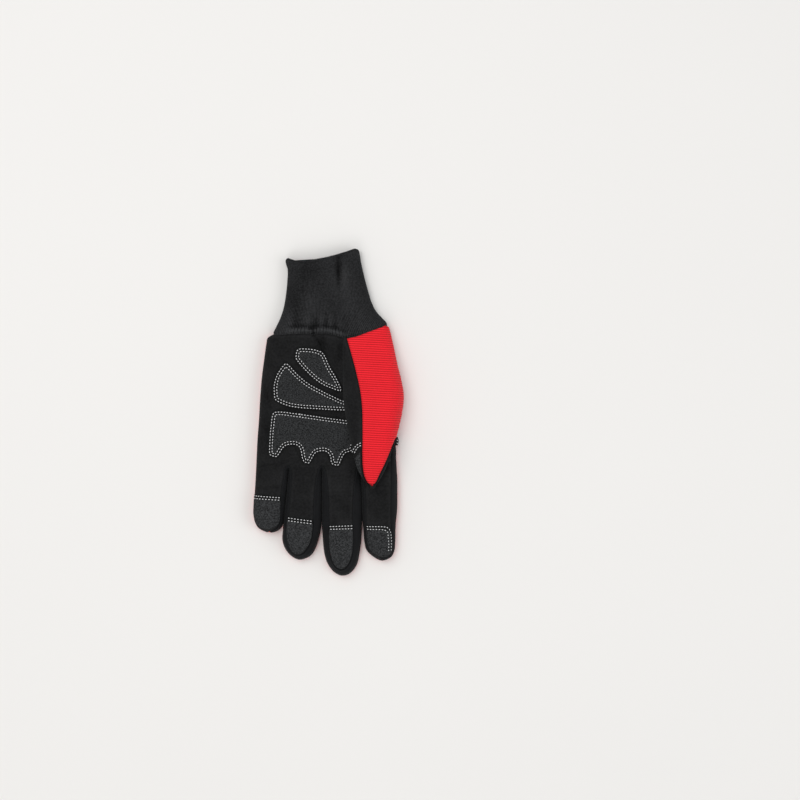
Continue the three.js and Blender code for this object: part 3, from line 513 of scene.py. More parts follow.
def from_edge(plan, outline, on_edge):
    """Distance from a silhouette, and 0 at the points that on_edge marks as lying on it."""
    d = distance(plan, outline)
    return d if on_edge is None else np.where(on_edge, 0, d)


def marked(plan, *columns):
    """Marks whole columns of a plan grid as lying on the silhouette."""
    marks = np.zeros(plan.shape[:2], bool)
    marks[:, list(columns)] = True
    return marks


def hand_top(plan, on_edge=None):
    """The palm's height: a quarter ellipse up from the silhouette, then level, less its dents."""
    x, y = plan[..., 0], plan[..., 1]
    d = from_edge(plan, OUTLINE, on_edge)
    high = soft_table(HAND_HEIGHT, y, 1)
    share = rise(d, EDGE_ROUND)
    sunk = bump_sum(x, y, PALM_DENTS) + crease_sum(plan, PALM_CREASES) - 0.3 * waver(x, y)
    return WIDEST * high + (high - WIDEST * high - sunk) * share


def hand_bottom(plan, on_edge=None):
    """The back's height: a quarter ellipse down from the back seam to the table."""
    d = from_edge(plan, OUTLINE, on_edge)
    sunk = 0.25 * (1 + waver(plan[..., 0] * 1.3, plan[..., 1])) * ease(d, 3, 14)
    return BACK_SEAM * (1 - rise(d, EDGE_ROUND)) + sunk


def thumb_side(column, first=0):
    """The thumb's silhouette points on one side, from the wrist or a later row to its tip."""
    return [(row[column], row[0]) for row in THUMB[::-1][first:]] + [THUMB_TIP]


THUMB_LEFT, THUMB_RIGHT = halves(thumb_side(1), thumb_side(2), 220)
THUMB_OUTLINE = np.vstack([THUMB_LEFT, THUMB_RIGHT[::-1]])


def thumb_base(plan):
    """The height at the thumb's silhouette, from its left side across to its right."""
    y = plan[..., 1]
    left, right = soft_table(THUMB, y, 1, 1), soft_table(THUMB, y, 2, 1)
    across = np.clip((plan[..., 0] - left) / (right - left + 1e-6), 0, 1)
    return soft_table(THUMB, y, 5, 2) * (1 - across) + soft_table(THUMB, y, 6, 2) * across


def thumb_top(plan, on_edge=None):
    """The thumb's height: a quarter ellipse up from its silhouette, then level, less dents."""
    x, y = plan[..., 0], plan[..., 1]
    d = from_edge(plan, THUMB_OUTLINE, on_edge)
    base = thumb_base(plan)
    high = np.maximum(soft_table(THUMB, y, 4, 3), base + 0.1)
    sunk = bump_sum(x, y, THUMB_DENTS) - 0.3 * waver(x + 20, y)
    lift = np.clip((high - base) / 6, 0, 1)
    return base + (high - base - sunk * lift) * rise(d, THUMB_ROUND)


def thumb_bottom(plan):
    """The free thumb's underside: a quarter ellipse down from its silhouette."""
    base = thumb_base(plan)
    low = soft_table(THUMB, plan[..., 1], 3, 1)
    return base - (base - low) * rise(distance(plan, THUMB_OUTLINE), UNDERSIDE_ROUND)


def crowded(count, strength=0.78):
    """Shares from 0 to 1 that crowd together at both ends."""
    t = np.linspace(0, 1, count)
    return t - strength * np.sin(2 * np.pi * t) / (2 * np.pi)


# The columns of the grids of the fingers and of what leads to each.
FINGER_COLUMNS = crowded(30)


def ruled(left, right, shares):
    """Plan points on the straight lines from a left curve to a right curve."""
    return left[:, None] + (right - left)[:, None] * np.asarray(shares)[None, :, None]


def with_height(plan, z):
    """Plan points and their heights as one grid of points."""
    return np.concatenate([plan[..., :2], np.asarray(z)[..., None]], axis=-1)


def unit(v):
    """Directions made one long."""
    return v / (np.linalg.norm(v, axis=-1, keepdims=True) + 1e-9)


def normals(grid):
    """Unit normals of a grid: the cross product of its two directions.

    Where a whole row or column is one point, its normal is the mean of those beside it.
    """
    n = unit(np.cross(np.gradient(grid, axis=0), np.gradient(grid, axis=1)))
    for lines, their_normals in ((grid, n), (grid.swapaxes(0, 1), n.swapaxes(0, 1))):
        for end, beside in ((0, 1), (-1, -2)):
            if np.ptp(lines[end], axis=0).max() < POLE:
                their_normals[end] = unit(their_normals[beside].mean(0))
    return n


def outwards(inner, outer):
    """Where a strip's outer face looks: away from its inner edge and up, for each row."""
    return np.concatenate([outer - inner, np.full((len(inner), 1), 3.0)], 1)[:, None]


def facing(grid, hint):
    """The grid, turned round if its normals run against the hint."""
    return grid[::-1] if (normals(grid) * hint).sum() < 0 else grid


def pushed(grid, amount, hint=(0, 0, 1)):
    """The grid moved along its normals, out on the hint's side."""
    n = normals(grid)
    side = np.sign((n * hint).sum()) or 1
    return grid + n * side * np.asarray(amount)[..., None]


def seam_roll(d, depth=0.6):
    """A panel's edge turned in at its seam, with the slight swell that follows it."""
    return 0.16 * bell(d, 2.4, 1.2) - depth * bell(d, 0, 0.75)


def seam_light(d):
    """Painted light beside a panel's seam: painted shade in the furrow, painted highlight on the
    ridge after it.
    """
    return 0.34 * bell(d, 2.0, 1.0) - 0.4 * bell(d, 0, 0.8)


def flat_list(values):
    """Grids of numbers as one long row."""
    return np.concatenate([np.ravel(value) for value in values])


def warp_to_seam(plan, reach=14):
    """Moves a panel's first rows along, so that its end follows the seam at the wrist."""
    seam = np.asarray(WRIST_SEAM)
    start = plan[:1, :, 1]
    share = np.clip(1 - (start - plan[..., 1]) / reach, 0, 1) ** 2
    shift = np.interp(plan[..., 0], seam[:, 0], seam[:, 1]) - SEAM_STEP - start
    out = plan.copy()
    out[..., 1] += share * shift
    return out


def make_mesh(name, grids, attributes=None, close=False):
    """An object whose mesh is the grids' faces, welded where the grids touch."""
    points, faces, start = [], [], 0
    for grid in grids:
        rows, columns = grid.shape[:2]
        at = np.arange(rows * columns).reshape(rows, columns) + start
        quads = np.stack([at[:-1, :-1], at[1:, :-1], at[1:, 1:], at[:-1, 1:]], -1)
        faces.append(quads.reshape(-1, 4))
        points.append(grid.reshape(-1, 3))
        start += rows * columns
    return mesh_object(name, np.vstack(points), np.vstack(faces), attributes, WELD, close)


def mesh_object(name, points, faces, attributes=None, weld=0.0, close=False):
    """An object made of an array of points, in millimetres, and an array of faces."""
    corners = faces.shape[1]
    mesh = bpy.data.meshes.new(name)
    mesh.vertices.add(len(points))
    mesh.vertices.foreach_set("co", (points * MM).astype(np.float32).ravel())
    mesh.loops.add(faces.size)
    mesh.loops.foreach_set("vertex_index", faces.astype(np.int32).ravel())
    mesh.polygons.add(len(faces))
    mesh.polygons.foreach_set("loop_start", np.arange(0, faces.size, corners, dtype=np.int32))
    mesh.polygons.foreach_set("loop_total", np.full(len(faces), corners, dtype=np.int32))
    mesh.polygons.foreach_set("use_smooth", np.ones(len(faces), dtype=bool))
    mesh.update(calc_edges=True)
    mesh.validate()
    for key, values in (attributes or {}).items():
        mesh.attributes.new(key, "FLOAT", "POINT").data.foreach_set(
            "value", np.asarray(values, np.float32).ravel()
        )
    if weld:
        work = bmesh.new()
        work.from_mesh(mesh)
        bmesh.ops.remove_doubles(work, verts=work.verts, dist=weld * MM)
        bmesh.ops.dissolve_degenerate(work, edges=work.edges, dist=1e-7)
        if close:
            bmesh.ops.recalc_face_normals(work, faces=work.faces)
        work.to_mesh(mesh)
        work.free()
    made = bpy.data.objects.new(name, mesh)
    bpy.context.scene.collection.objects.link(made)
    return made


def thicken(made, thickness):
    """Gives a sheet its wall, inwards from its outer face."""
    wall = made.modifiers.new("wall", "SOLIDIFY")
    wall.thickness = thickness
    wall.offset = -1
    wall.use_even_offset = False
    return made


def dress(made, material, nodes=()):
    """Gives a piece its material and its body, and hides the CAD parts of the nodes it stands
    for.
    """
    made.data.materials.append(material)
    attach(made, "root")
    if nodes:
        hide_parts(*nodes)
    return made


class Value:
    """A shader value. Python maths on it adds the Math nodes that work it out."""

    def __init__(self, shader, socket):
        self.shader = shader
        self.socket = socket

    def maths(self, operation, *others):
        """One Math node on this value and others."""
        return self.shader.node("ShaderNodeMath", {"operation": operation}, (self, *others))

    def __add__(self, other):
        return self.maths("ADD", other)

    __radd__ = __add__

    def __sub__(self, other):
        return self.maths("SUBTRACT", other)

    def __rsub__(self, other):
        return self.shader.node("ShaderNodeMath", {"operation": "SUBTRACT"}, (other, self))

    def __mul__(self, other):
        return self.maths("MULTIPLY", other)

    __rmul__ = __mul__

    def __pow__(self, other):
        return self.maths("POWER", other)

    def sine(self):
        """The sine of the value in radians."""
        return self.maths("SINE")

    def above(self, start, end):
        """Goes smoothly from 0 at start to 1 at end."""
        settings = {"interpolation_type": "SMOOTHSTEP"}
        return self.shader.node("ShaderNodeMapRange", settings, (self, start, end, 0.0, 1.0))


class Finish:
    """A procedural material under way."""

    def __init__(self, name, **constants):
        self.material = bpy.data.materials.new(name)
        self.material.use_nodes = True
        self.tree = self.material.node_tree
        self.surface = self.tree.nodes["Principled BSDF"]
        for key, value in constants.items():
            self.surface.inputs[key.replace("_", " ")].default_value = value
        self.place = self.node("ShaderNodeTexCoord", {}, (), "Object")

    def node(self, kind, settings, values=(), output=0):
        """Adds a node: its settings first, then its sockets' values or links."""
        made = self.tree.nodes.new(kind)
        for key, value in settings.items():
            setattr(made, key, value)
        pairs = values.items() if isinstance(values, dict) else enumerate(values)
        for key, value in pairs:
            if isinstance(value, Value):
                self.tree.links.new(value.socket, made.inputs[key])
            elif value is not None:
                made.inputs[key].default_value = value
        return Value(self, made.outputs[output])

    def noise(self, scale, detail=2.0, roughness=0.5, stretch=None):
        """Noise between 0 and 1, its scale in grains to the metre."""
        place = self.place
        if stretch:
            place = self.node(
                "ShaderNodeVectorMath", {"operation": "MULTIPLY"}, (self.place, stretch)
            )
        return self.node(
            "ShaderNodeTexNoise", {},
            {"Vector": place, "Scale": scale, "Detail": detail, "Roughness": roughness},
        )

    def grains(self, scale):
        """Distance from the nearest of scattered points."""
        return self.node("ShaderNodeTexVoronoi", {}, {"Vector": self.place, "Scale": scale})

    def axis(self, letter):
        """One coordinate of the place on the object, in metres."""
        return self.node("ShaderNodeSeparateXYZ", {}, (self.place,), letter)

    def attribute(self, name):
        """A number that the mesh carries at its points."""
        return self.node("ShaderNodeAttribute", {"attribute_name": name}, (), "Fac")

    def mix(self, factor, first, second):
        """A colour between two colours."""
        settings = {"data_type": "RGBA"}
        return self.node("ShaderNodeMix", settings, {0: factor, 6: first, 7: second}, 2)

    def relief(self, height, depth, under=None):
        """The normal of a height from 0 to 1 that stands this many metres proud."""
        values = {"Height": height, "Distance": depth, "Strength": 1.0}
        if under is not None:
            values["Normal"] = under
        return self.node("ShaderNodeBump", {}, values, "Normal")

    def wear(self, **links):
        """Links what varies over the surface and gives the material back."""
        for key, value in links.items():
            self.tree.links.new(value.socket, self.surface.inputs[key.replace("_", " ")])
        return self.material


def shade(colour, factor):
    """A colour made lighter or darker."""
    return (*(min(1, c * factor) for c in colour[:3]), 1)


def suede(colour):
    """Napped synthetic leather: soft clouds of tone over a fine felt, and painted light."""
    f = Finish("suede", Sheen_Weight=0.03, Sheen_Roughness=0.6, Specular_IOR_Level=0.08)
    cloud, nap, felt = f.noise(60, 3), f.noise(620, 3, 0.6), f.noise(2600, 3, 0.7)
    # The light attribute paints shade into dents and seam furrows and highlight onto ridges.
    tone = (
        cloud.above(0.3, 0.72) * 0.2 + nap.above(0.35, 0.65) * 0.25
        + felt.above(0.25, 0.75) * 0.1 + f.attribute("light") * 0.45
    )
    colour_out = f.mix(tone, shade(colour, 0.1), shade(colour, 2.15))
    grain = nap * 0.5 + felt * 0.5
    return f.wear(
        Base_Color=colour_out, Roughness=0.8 + 0.14 * felt,
        Normal=f.relief(grain, 0.00022, f.relief(cloud, 0.0012)),
    )


def side_cloth(colour):
    """Fine stretch cloth of the side strips: a close weave of two crossing waves."""
    f = Finish("side cloth", Sheen_Weight=0.03, Specular_IOR_Level=0.1)
    pitch = 2 * math.pi / 0.00055
    weave = (f.axis("Y") * pitch).sine() * (f.axis("X") * pitch).sine() * 0.5 + 0.5
    tone = f.noise(180, 3) * 0.6 + weave * 0.4
    colour_out = f.mix(tone, shade(colour, 0.6), shade(colour, 1.5))
    return f.wear(
        Base_Color=colour_out, Roughness=0.72 + 0.16 * tone,
        Normal=f.relief(weave, 0.00006, f.relief(f.noise(220, 3), 0.0006)),
    )


def ribbed_red(colour, pitch):
    """Red fabric with fine ribs across it, a little wavy, with painted shade in the furrows."""
    f = Finish("ribbed red", Sheen_Weight=0.04, Specular_IOR_Level=0.12)
    drift = f.noise(22, 2) * 1.5 + f.noise(90, 2) * 0.35
    slope = f.axis("X") * 0.05
    phase = (f.attribute("along") + slope) * (2 * math.pi / pitch) + drift
    rib = (phase.sine() * 0.5 + 0.5) ** 0.7
    thread = f.noise(1500, 2, 0.6, (1, 4, 1))
    # rib darkens the colour in the furrows: painted shade between the ribs.
    tone = rib.above(0.05, 0.8) * 0.72 + f.noise(70, 2) * 0.22 + thread * 0.12
    colour_out = f.mix(tone, shade(colour, 0.46), shade(colour, 1.14))
    height = rib * 0.85 + thread * 0.15
    return f.wear(
        Base_Color=colour_out, Roughness=0.78 - 0.12 * rib,
        Normal=f.relief(height, 0.00042, f.relief(f.noise(60, 2), 0.001)),
    )


def rib_knit(colour):
    """Rib knit: the ribs are in the mesh, painted highlight on crests and gathers, with little
    loops.
    """
    f = Finish("rib knit", Sheen_Weight=0.05, Sheen_Roughness=0.5, Specular_IOR_Level=0.08)
    # rib and relief paint light: highlight on crests, ridges and pleats, shade in grooves, dents
    # and behind the ridge.
    rib, lift = f.attribute("rib"), f.attribute("relief") - 0.5
    loops = (f.axis("Y") * (2 * math.pi / 0.0011) + rib * 2.2).sine() * 0.5 + 0.5
    fluff = f.noise(1300, 3, 0.7)
    patchy = f.noise(45, 2) * 0.1 + f.noise(800, 3, 0.7).above(0.36, 0.64) * 0.26
    tone = rib * 0.3 + loops * rib * 0.1 + fluff * 0.1 + patchy + lift * 0.7
    colour_out = f.mix(tone.above(0.0, 0.92), shade(colour, 0.16), shade(colour, 2.35))
    return f.wear(
        Base_Color=colour_out, Roughness=0.86 + 0.1 * fluff,
        Normal=f.relief(loops * 0.5 + fluff * 0.5, 0.00018),
    )


def grip(name, colour, border):
    """Speckled grip coating, dark along its sewn edge."""
    f = Finish(name, Specular_IOR_Level=0.14)
    inside = f.attribute("inside")
    cells, speck = f.grains(1150), f.noise(950, 4, 0.8)
    pebble = 1 - cells.above(0.05, 0.62)
    tone = speck.above(0.41, 0.59) * 0.7 + pebble * 0.18 + f.noise(120, 2) * 0.12
    grey = f.mix(tone, shade(colour, 0.1), shade(colour, 2.75))
    colour_out = f.mix(inside, border, grey)
    height = pebble * 0.6 + speck * 0.4
    return f.wear(
        Base_Color=colour_out, Roughness=0.8 - 0.22 * pebble,
        Normal=f.relief(height, 0.0004, f.relief(f.noise(150, 2), 0.0006)),
    )


def thread(colour):
    """Twisted sewing thread."""
    f = Finish("sewing thread", Sheen_Weight=0.2, Specular_IOR_Level=0.4)
    ply = f.noise(2600, 2)
    tone = ply * 0.6 + f.noise(160, 1) * 0.4
    colour_out = f.mix(tone, shade(colour, 0.62), shade(colour, 1.2))
    return f.wear(
        Base_Color=colour_out, Roughness=0.6 + 0.2 * ply, Normal=f.relief(ply, 0.00015)
    )


def table_top(colour):
    """A plain pale table."""
    f = Finish("table top", Specular_IOR_Level=0.3)
    cloud = f.noise(3, 3)
    colour_out = f.mix(cloud, shade(colour, 0.985), shade(colour, 1.01))
    return f.wear(Base_Color=colour_out, Roughness=0.55 + 0.1 * cloud)


def sheet_rows(lefts, notches, rights, rows):
    """The palm's plan grid: rows from the left side to the right, bent at three inner lines.

    The inner lines run straight from the wrist to the crotches, so each finger has its own
    columns and the grid goes on into the fingers.
    """
    lines = [lefts]
    for head, foot in zip(WRIST_LINES, notches):
        share = np.linspace(0, 1, rows)[:, None]
        lines.append(np.array(head) * (1 - share) + np.array(foot) * share)
    lines.append(rights)
    parts = [ruled(a, b, FINGER_COLUMNS) for a, b in zip(lines[:-1], lines[1:])]
    return np.concatenate([part if i == 0 else part[:, 1:] for i, part in enumerate(parts)], 1)


def front_sheet():
    """The palm and the four finger fronts as one sheet of grids, with its edges turned in.

    With the grids comes painted light: painted shade in dents and furrows, painted highlight on
    ridges.
    """
    rows = 130
    lefts = curve([*WRIST_LEFT, *HAND_LEFT[4:], LITTLE_FRONT_ROOT], rows)
    rights = curve(PALM_RIGHT, rows)
    palm = warp_to_seam(sheet_rows(lefts, NOTCHES, rights, rows))
    edge = [np.asarray(WRIST_SEAM[1:11]) - (0, SEAM_STEP), rights[rights[:, 1] < THUMB_FREE]]
    plans = [palm]
    for name in FINGERS:
        left, right = front_curves(name, 96)
        plans.append(ruled(left, right, FINGER_COLUMNS))
        edge += [left] * (name != "little") + [right]
    grids, light = [], []
    for number, plan in enumerate(plans):
        on_edge = marked(plan, 0) if number < 2 else None
        grid = facing(with_height(plan, hand_top(plan, on_edge)), (0, 0, 1))
        near = np.min([distance(grid, line) for line in edge], axis=0)
        grids.append(pushed(grid, seam_roll(near)))
        x, y = grid[..., 0], grid[..., 1]
        sunk = bump_sum(x, y, PALM_DENTS) + crease_sum(grid, PALM_CREASES)
        # Painted shade in dents, creases and seam furrows, painted highlight beside seams, slow
        # random tone.
        light.append(0.5 + seam_light(near) - 0.6 * sunk + 0.16 * waver(x * 1.7, y * 1.7))
    for number in (0, 1):  # the little finger's side, which has no strip
        line = grids[number][:, :1]
        foot = line * (1, 1, 0) + (0, 0, BACK_SEAM + PANEL_LAP)
        below = np.concatenate([line, (line + foot) / 2, foot], 1)
        grids.append(facing(below, (-1, 0, 0)))
        light.append(np.full(below.shape[:2], 0.5))
    return grids, flat_list(light)


def back_sheet():
    """The back of the hand and of the fingers as one sheet that rests on the table."""
    rows = 110
    lefts = curve([*WRIST_LEFT, *HAND_LEFT[4:], LITTLE_ROOT], rows)
    rights = curve([*WRIST_RIGHT, *HAND_RIGHT[3:], INDEX_SIDE_ROOT], rows)
    plans = [warp_to_seam(sheet_rows(lefts, CROTCHES, rights, rows), 20)]
    for name in FINGERS:
        plans.append(ruled(*side_curves(name, 84), FINGER_COLUMNS))
    grids = []
    for plan in plans:
        z = hand_bottom(plan, marked(plan, 0, -1))
        grids.append(facing(with_height(plan, z), (0, 0, -1)))
    return grids


def side_grid(inner, outer):
    """A strip from a front panel's edge over the silhouette down to the back seam."""
    wide = np.linalg.norm(outer - inner, axis=1) > STRIP_LEAST
    inner, outer = inner[wide], outer[wide]
    shares = np.sin(np.linspace(0, 1, 13) * np.pi / 2)
    plan = ruled(inner, outer, shares)
    top = with_height(plan, hand_top(plan, marked(plan, -1)))
    last = top[:, -1:]
    foot = last * (1, 1, 0) + (0, 0, BACK_SEAM + STRIP_LAP)
    grid = np.concatenate([top, (last + foot) / 2, foot], 1)
    outward = outwards(inner, outer)
    grid = facing(grid, outward)
    width = np.linalg.norm(np.diff(grid, axis=1), axis=-1).cumsum(1)
    width = np.concatenate([np.zeros((len(grid), 1)), width], 1)
    near = np.minimum(width, width[:, -1:] - width)
    wave = 0.12 * np.sin(np.arange(len(grid)) / 4.1)[:, None] * np.sin(np.pi * width / 12)
    return pushed(grid, seam_roll(near, 0.5) + wave, outward)


def gusset(first, second):
    """A side strip down one finger, round the crotch and down the next."""
    inner = np.vstack([front_curves(first, 80)[1][::-1], front_curves(second, 80)[0][1:]])
    outer = np.vstack([side_curves(first, 80)[1][::-1], side_curves(second, 80)[0][1:]])
    return side_grid(inner, outer)


def index_strip():
    """The strip from the index finger's tip up its outer side to the thumb's web."""
    front_end = curve([INDEX_ROOT, *STRIP_INNER_END], 20)[1:]
    side_end = curve([INDEX_SIDE_ROOT, *STRIP_OUTER_END], 20)[1:]
    inner = np.vstack([front_curves("index", 90)[1][::-1], front_end])
    outer = np.vstack([side_curves("index", 90)[1][::-1], side_end])
    return side_grid(inner, outer)


def red_thumb():
    """The red over the thumb's back, and its skirt down the hand's edge to the back seam."""
    left, right = halves(RED_LEFT, RED_RIGHT, 190)
    plan = warp_to_seam(ruled(left, right, crowded(64)), 12)
    attached = right[:, 1] > THUMB_FREE
    on_edge = marked(plan, -1) & attached[:, None]
    grid = facing(with_height(plan, thumb_top(plan, on_edge)), (0, 0, 1))
    near = distance(grid, left)
    near = np.minimum(near, distance(grid, right[~attached]))
    near = np.minimum(near, distance(grid, np.asarray(WRIST_SEAM[9:]) - (0, SEAM_STEP)))
    grid = pushed(grid, seam_roll(near, 0.7))
    edge = grid[:, -1:]
    edge = edge[edge[:, 0, 1] > THUMB_FREE - 2]
    hand = curve(HAND_RIGHT, 200)
    foot_x = np.interp(edge[..., 1], hand[::-1, 1], hand[::-1, 0])
    t = np.linspace(0, 1, 14)[None]
    x = edge[..., 0] + (foot_x - edge[..., 0]) * t**2
    y = edge[..., 1] + 0 * t
    z = edge[..., 2] + (BACK_SEAM + PANEL_LAP - edge[..., 2]) * t
    skirt = facing(np.stack([x, y, z], -1), (1, 0, 0))
    return [grid, skirt]


def black_thumb():
    """The leather round the thumb: its left wall, its border round the tip, its underside.

    The wall's foot goes a little into the palm, so that no light shows under it.
    """
    rows, border_rows = 160, 54
    red_left, red_right = halves(RED_LEFT, RED_RIGHT[10:], rows, border_rows)
    left, right = [WALL_START, *thumb_side(1, 2)], [BORDER_START, *thumb_side(2, 10)]
    wall, far = halves(left, right, rows, border_rows)
    inner = np.vstack([red_left, red_right[::-1][1:]])
    outer = np.vstack([wall, far[::-1][1:]])
    plan = ruled(inner, outer, np.sin(np.linspace(0, 1, 16) * np.pi / 2))
    z = thumb_top(plan, marked(plan, -1))
    foot = hand_top(plan[:, -1]) - 0.4
    sewn = ease(plan[:, -1, 1], THUMB_FREE, THUMB_FREE + 6) * (np.arange(len(plan)) < rows)
    share = np.linspace(0, 1, z.shape[1]) ** 4
    z = z + (sewn * (foot - z[:, -1]))[:, None] * share
    outward = outwards(inner, outer)
    border = facing(with_height(plan, z), outward)
    near = distance(border, inner)
    border = pushed(border, seam_roll(near, 0.6), outward)
    left, right = UNDERSIDE_START
    left, right = halves([left, *thumb_side(1, 9)], [right, *thumb_side(2, 9)], 70)
    under = ruled(left, right, crowded(40))
    z = thumb_bottom(under)
    z[:, [0, -1]] = thumb_base(under)[:, [0, -1]]
    # The border gets painted shade in its seam furrow and painted highlight beside it; the
    # underside none.
    light = flat_list([0.5 + seam_light(near), np.full(z.shape, 0.5)])
    return [border, facing(with_height(under, z), (0, 0, -1))], light


def cuff_sections(v, inset, count, samples=240):
    """Points evenly spaced round the cuff at each share v: two flats and quarter ellipses."""
    y_left = CUFF_LEFT[0] + v * (CUFF_LEFT[1] - CUFF_LEFT[0])
    y_right = CUFF_RIGHT[0] + v * (CUFF_RIGHT[1] - CUFF_RIGHT[0])
    inset = inset[:, None]
    left = soft_table(CUFF, y_left, 1, 5)[:, None] + inset
    right = soft_table(CUFF, y_right, 2, 5)[:, None] - inset
    low, high = inset, soft_table(CUFF, y_left, 3, 5)[:, None] - inset
    wide = low + WIDEST * (high - low)
    corner = CUFF_CORNER - inset
    a = np.linspace(0, np.pi / 2, samples)[None]
    last = np.zeros((1, 1))
    x = np.concatenate(
        [left + corner * (1 - np.cos(a)), right - corner * (1 - np.sin(a)),
         right - corner * (1 - np.cos(a)), left + corner * (1 - np.sin(a)), left + last], 1,
    )
    z = np.concatenate(
        [wide + (high - wide) * np.sin(a), wide + (high - wide) * np.cos(a),
         wide - (wide - low) * np.sin(a), wide - (wide - low) * np.cos(a), wide + last], 1,
    )
    step = np.hypot(np.diff(x, axis=1), np.diff(z, axis=1))
    length = np.concatenate([np.zeros((len(v), 1)), step.cumsum(1)], 1)
    share = np.linspace(0, 1, count + 1)
    rows = [
        (np.interp(share * l[-1], l, xs), np.interp(share * l[-1], l, zs))
        for l, xs, zs in zip(length, x, z)
    ]
    return np.array([row[0] for row in rows]), np.array([row[1] for row in rows])


def cuff_grid(ribs, knit):
    """The cuff: an outer tube, its fold at the mouth and the inner tube, with ribs along it.

    The tube starts under the leather, so it is drawn in there. Over the seam it swells in a
    gathered ridge with short pleats, and sinks behind the ridge.
    """
    around = ribs * 4
    gathers, tube = np.linspace(0, 0.16, 26), np.linspace(0.18, 0.97, 66)
    outer_v = np.r_[np.linspace(-0.1, -0.006, 9), gathers, tube]
    fold = np.linspace(0, 1, 9)
    inner_v = np.linspace(0.965, -0.1, 42)
    v = np.r_[outer_v, 0.972 + 0.028 * np.sin(fold * np.pi), inner_v]
    doubled = np.r_[0 * outer_v, knit / 2 * (1 - np.cos(fold * np.pi)), 0 * inner_v + knit]
    inset = doubled + CUFF_TUCKED * ease(-v, 0, 0.035)
    x, z = cuff_sections(v, inset, around)
    seam, mouth = np.asarray(WRIST_SEAM), np.asarray(CUFF_MOUTH)
    foot = np.interp(x, seam[:, 0], seam[:, 1]) + 0.2
    head = np.interp(x, mouth[:, 0], mouth[:, 1])
    y = foot + (head - foot) * v[:, None]
    grid = np.stack([x, y, z], -1)
    turn = np.linspace(0, 2 * np.pi * ribs, around + 1)[None]
    crest = np.cos(turn) * np.ones_like(v)[:, None]
    centre = np.stack([x.mean(1, keepdims=True) + 0 * x, y, CUFF_MIDDLE + 0 * x], -1)
    n = normals(grid)
    outer = len(outer_v)
    sign = 1 if (n[:outer] * (grid - centre)[:outer]).sum() > 0 else -1
    is_outer = (np.arange(len(v)) < outer)[:, None]
    up = ease(z, 6, 12)
    over = y - foot
    gathered = ease(x, -38, -27) * (1 - ease(x, 8, 16)) * up
    ridge = bell(over, 2.3, 1.4) - 0.5 * bell(over, 5.8, 1.8)
    pleat = 0.55 * np.cos(turn * 0.5 + 1.5 * np.sin(x / 5)) * bell(over, 2.4, 2.2)
    pleat = pleat + 0.4 * np.sin(x / 1.7 + 2 * np.sin(x / 7)) * bell(over, 9, 6)
    hem = 0.16 * (bell(v, 0.93, 0.05) - bell(v, 0.865, 0.008))[:, None]
    swell = 0.4 * waver(x, y * 0.6) * up
    tuck = -bell(over, 0, 0.8)
    dents = bump_sum(x, y, CUFF_DENTS) * up
    past_seam = ease(v, -0.02, 0.01)[:, None]
    shape = (1.2 * ridge + pleat) * gathered + hem + swell - dents
    amount = past_seam * (0.32 * crest + is_outer * (shape + tuck))
    grid = grid + n * sign * amount[..., None]
    grid[:, -1] = grid[:, 0]
    grid[..., 2] = np.maximum(grid[..., 2], 0.02 + 0.1 * (1 - crest))
    # relief is painted light from the outer tube's shape: highlight on ridge, pleats and swells,
    # shade in dents.
    relief = np.clip(0.5 + 0.42 * is_outer * shape, 0, 1)
    closed, crest, relief = (
        np.concatenate([values, values[:1]], 0) for values in (grid, crest, relief)
    )
    # rib paints highlight on the crests and shade in the grooves, and shifts the knit loops.
    return closed, {"rib": crest * 0.5 + 0.5, "relief": relief}


def edge_of(upper, lower, count=420):
    """A pad's whole edge as one closed run of points."""
    top, bottom = loop_halves(upper, lower, count)
    return np.vstack([top, bottom[::-1][1:-1]])


def pad_grids(plan, edge, gap, thickness, puff):
    """A pad's upper face and underside, and how far inside its sewn band each point lies.

    The upper face climbs over a rounded edge, dips at its stitch rows and swells inside them.
    """
    d = distance(plan, edge, True)
    swell = thickness * rise(d, 1.0) + puff * ease(d, 2.8, 9)
    for row in PAD_ROWS:
        swell = swell - 0.42 * bell(d, row, 0.5)
    base = facing(with_height(plan, hand_top(plan)), (0, 0, 1))
    if not np.allclose(base[0, 0, :2], plan[0, 0]):
        swell, d = swell[::-1], d[::-1]
    top = pushed(base, gap + swell)
    bottom = pushed(base, np.full(d.shape, gap * 0.3))
    top[:, 0], top[:, -1] = (top[:, 0] + bottom[:, 0]) / 2, (top[:, -1] + bottom[:, -1]) / 2
    return top, bottom[::-1], d


def walls(top, bottom):
    """The four walls between a piece's upper face and its underside."""
    under = bottom[::-1]
    ends = [np.stack([top[0], under[0]]), np.stack([under[-1], top[-1]])]
    sides = [np.stack([under[:, 0], top[:, 0]]), np.stack([top[:, -1], under[:, -1]])]
    return ends + sides


def offset_curve(edge, inwards):
    """The run of points at one distance inside a closed edge, its loops cut out."""
    ahead, behind = np.roll(edge, -2, 0), np.roll(edge, 2, 0)
    along = ahead - behind
    side = unit(np.stack([-along[:, 1], along[:, 0]], 1))
    area = (edge[:, 0] * np.roll(edge[:, 1], -1) - np.roll(edge[:, 0], -1) * edge[:, 1]).sum()
    moved = edge + side * inwards * np.sign(area)
    kept = moved[distance(moved, edge, True) > inwards * 0.97]
    return np.vstack([kept, kept[:1]])


def frames(plan, surface, amount, h=0.3):
    """Points on a surface, and the unit directions up from it at each."""
    z = surface(plan)
    slope_x = (surface(plan + (h, 0)) - surface(plan - (h, 0))) / (2 * h)
    slope_y = (surface(plan + (0, h)) - surface(plan - (0, h))) / (2 * h)
    up = unit(np.stack([-slope_x, -slope_y, np.ones_like(z)], -1))
    return with_height(plan, z) + up * np.asarray(amount)[..., None], up


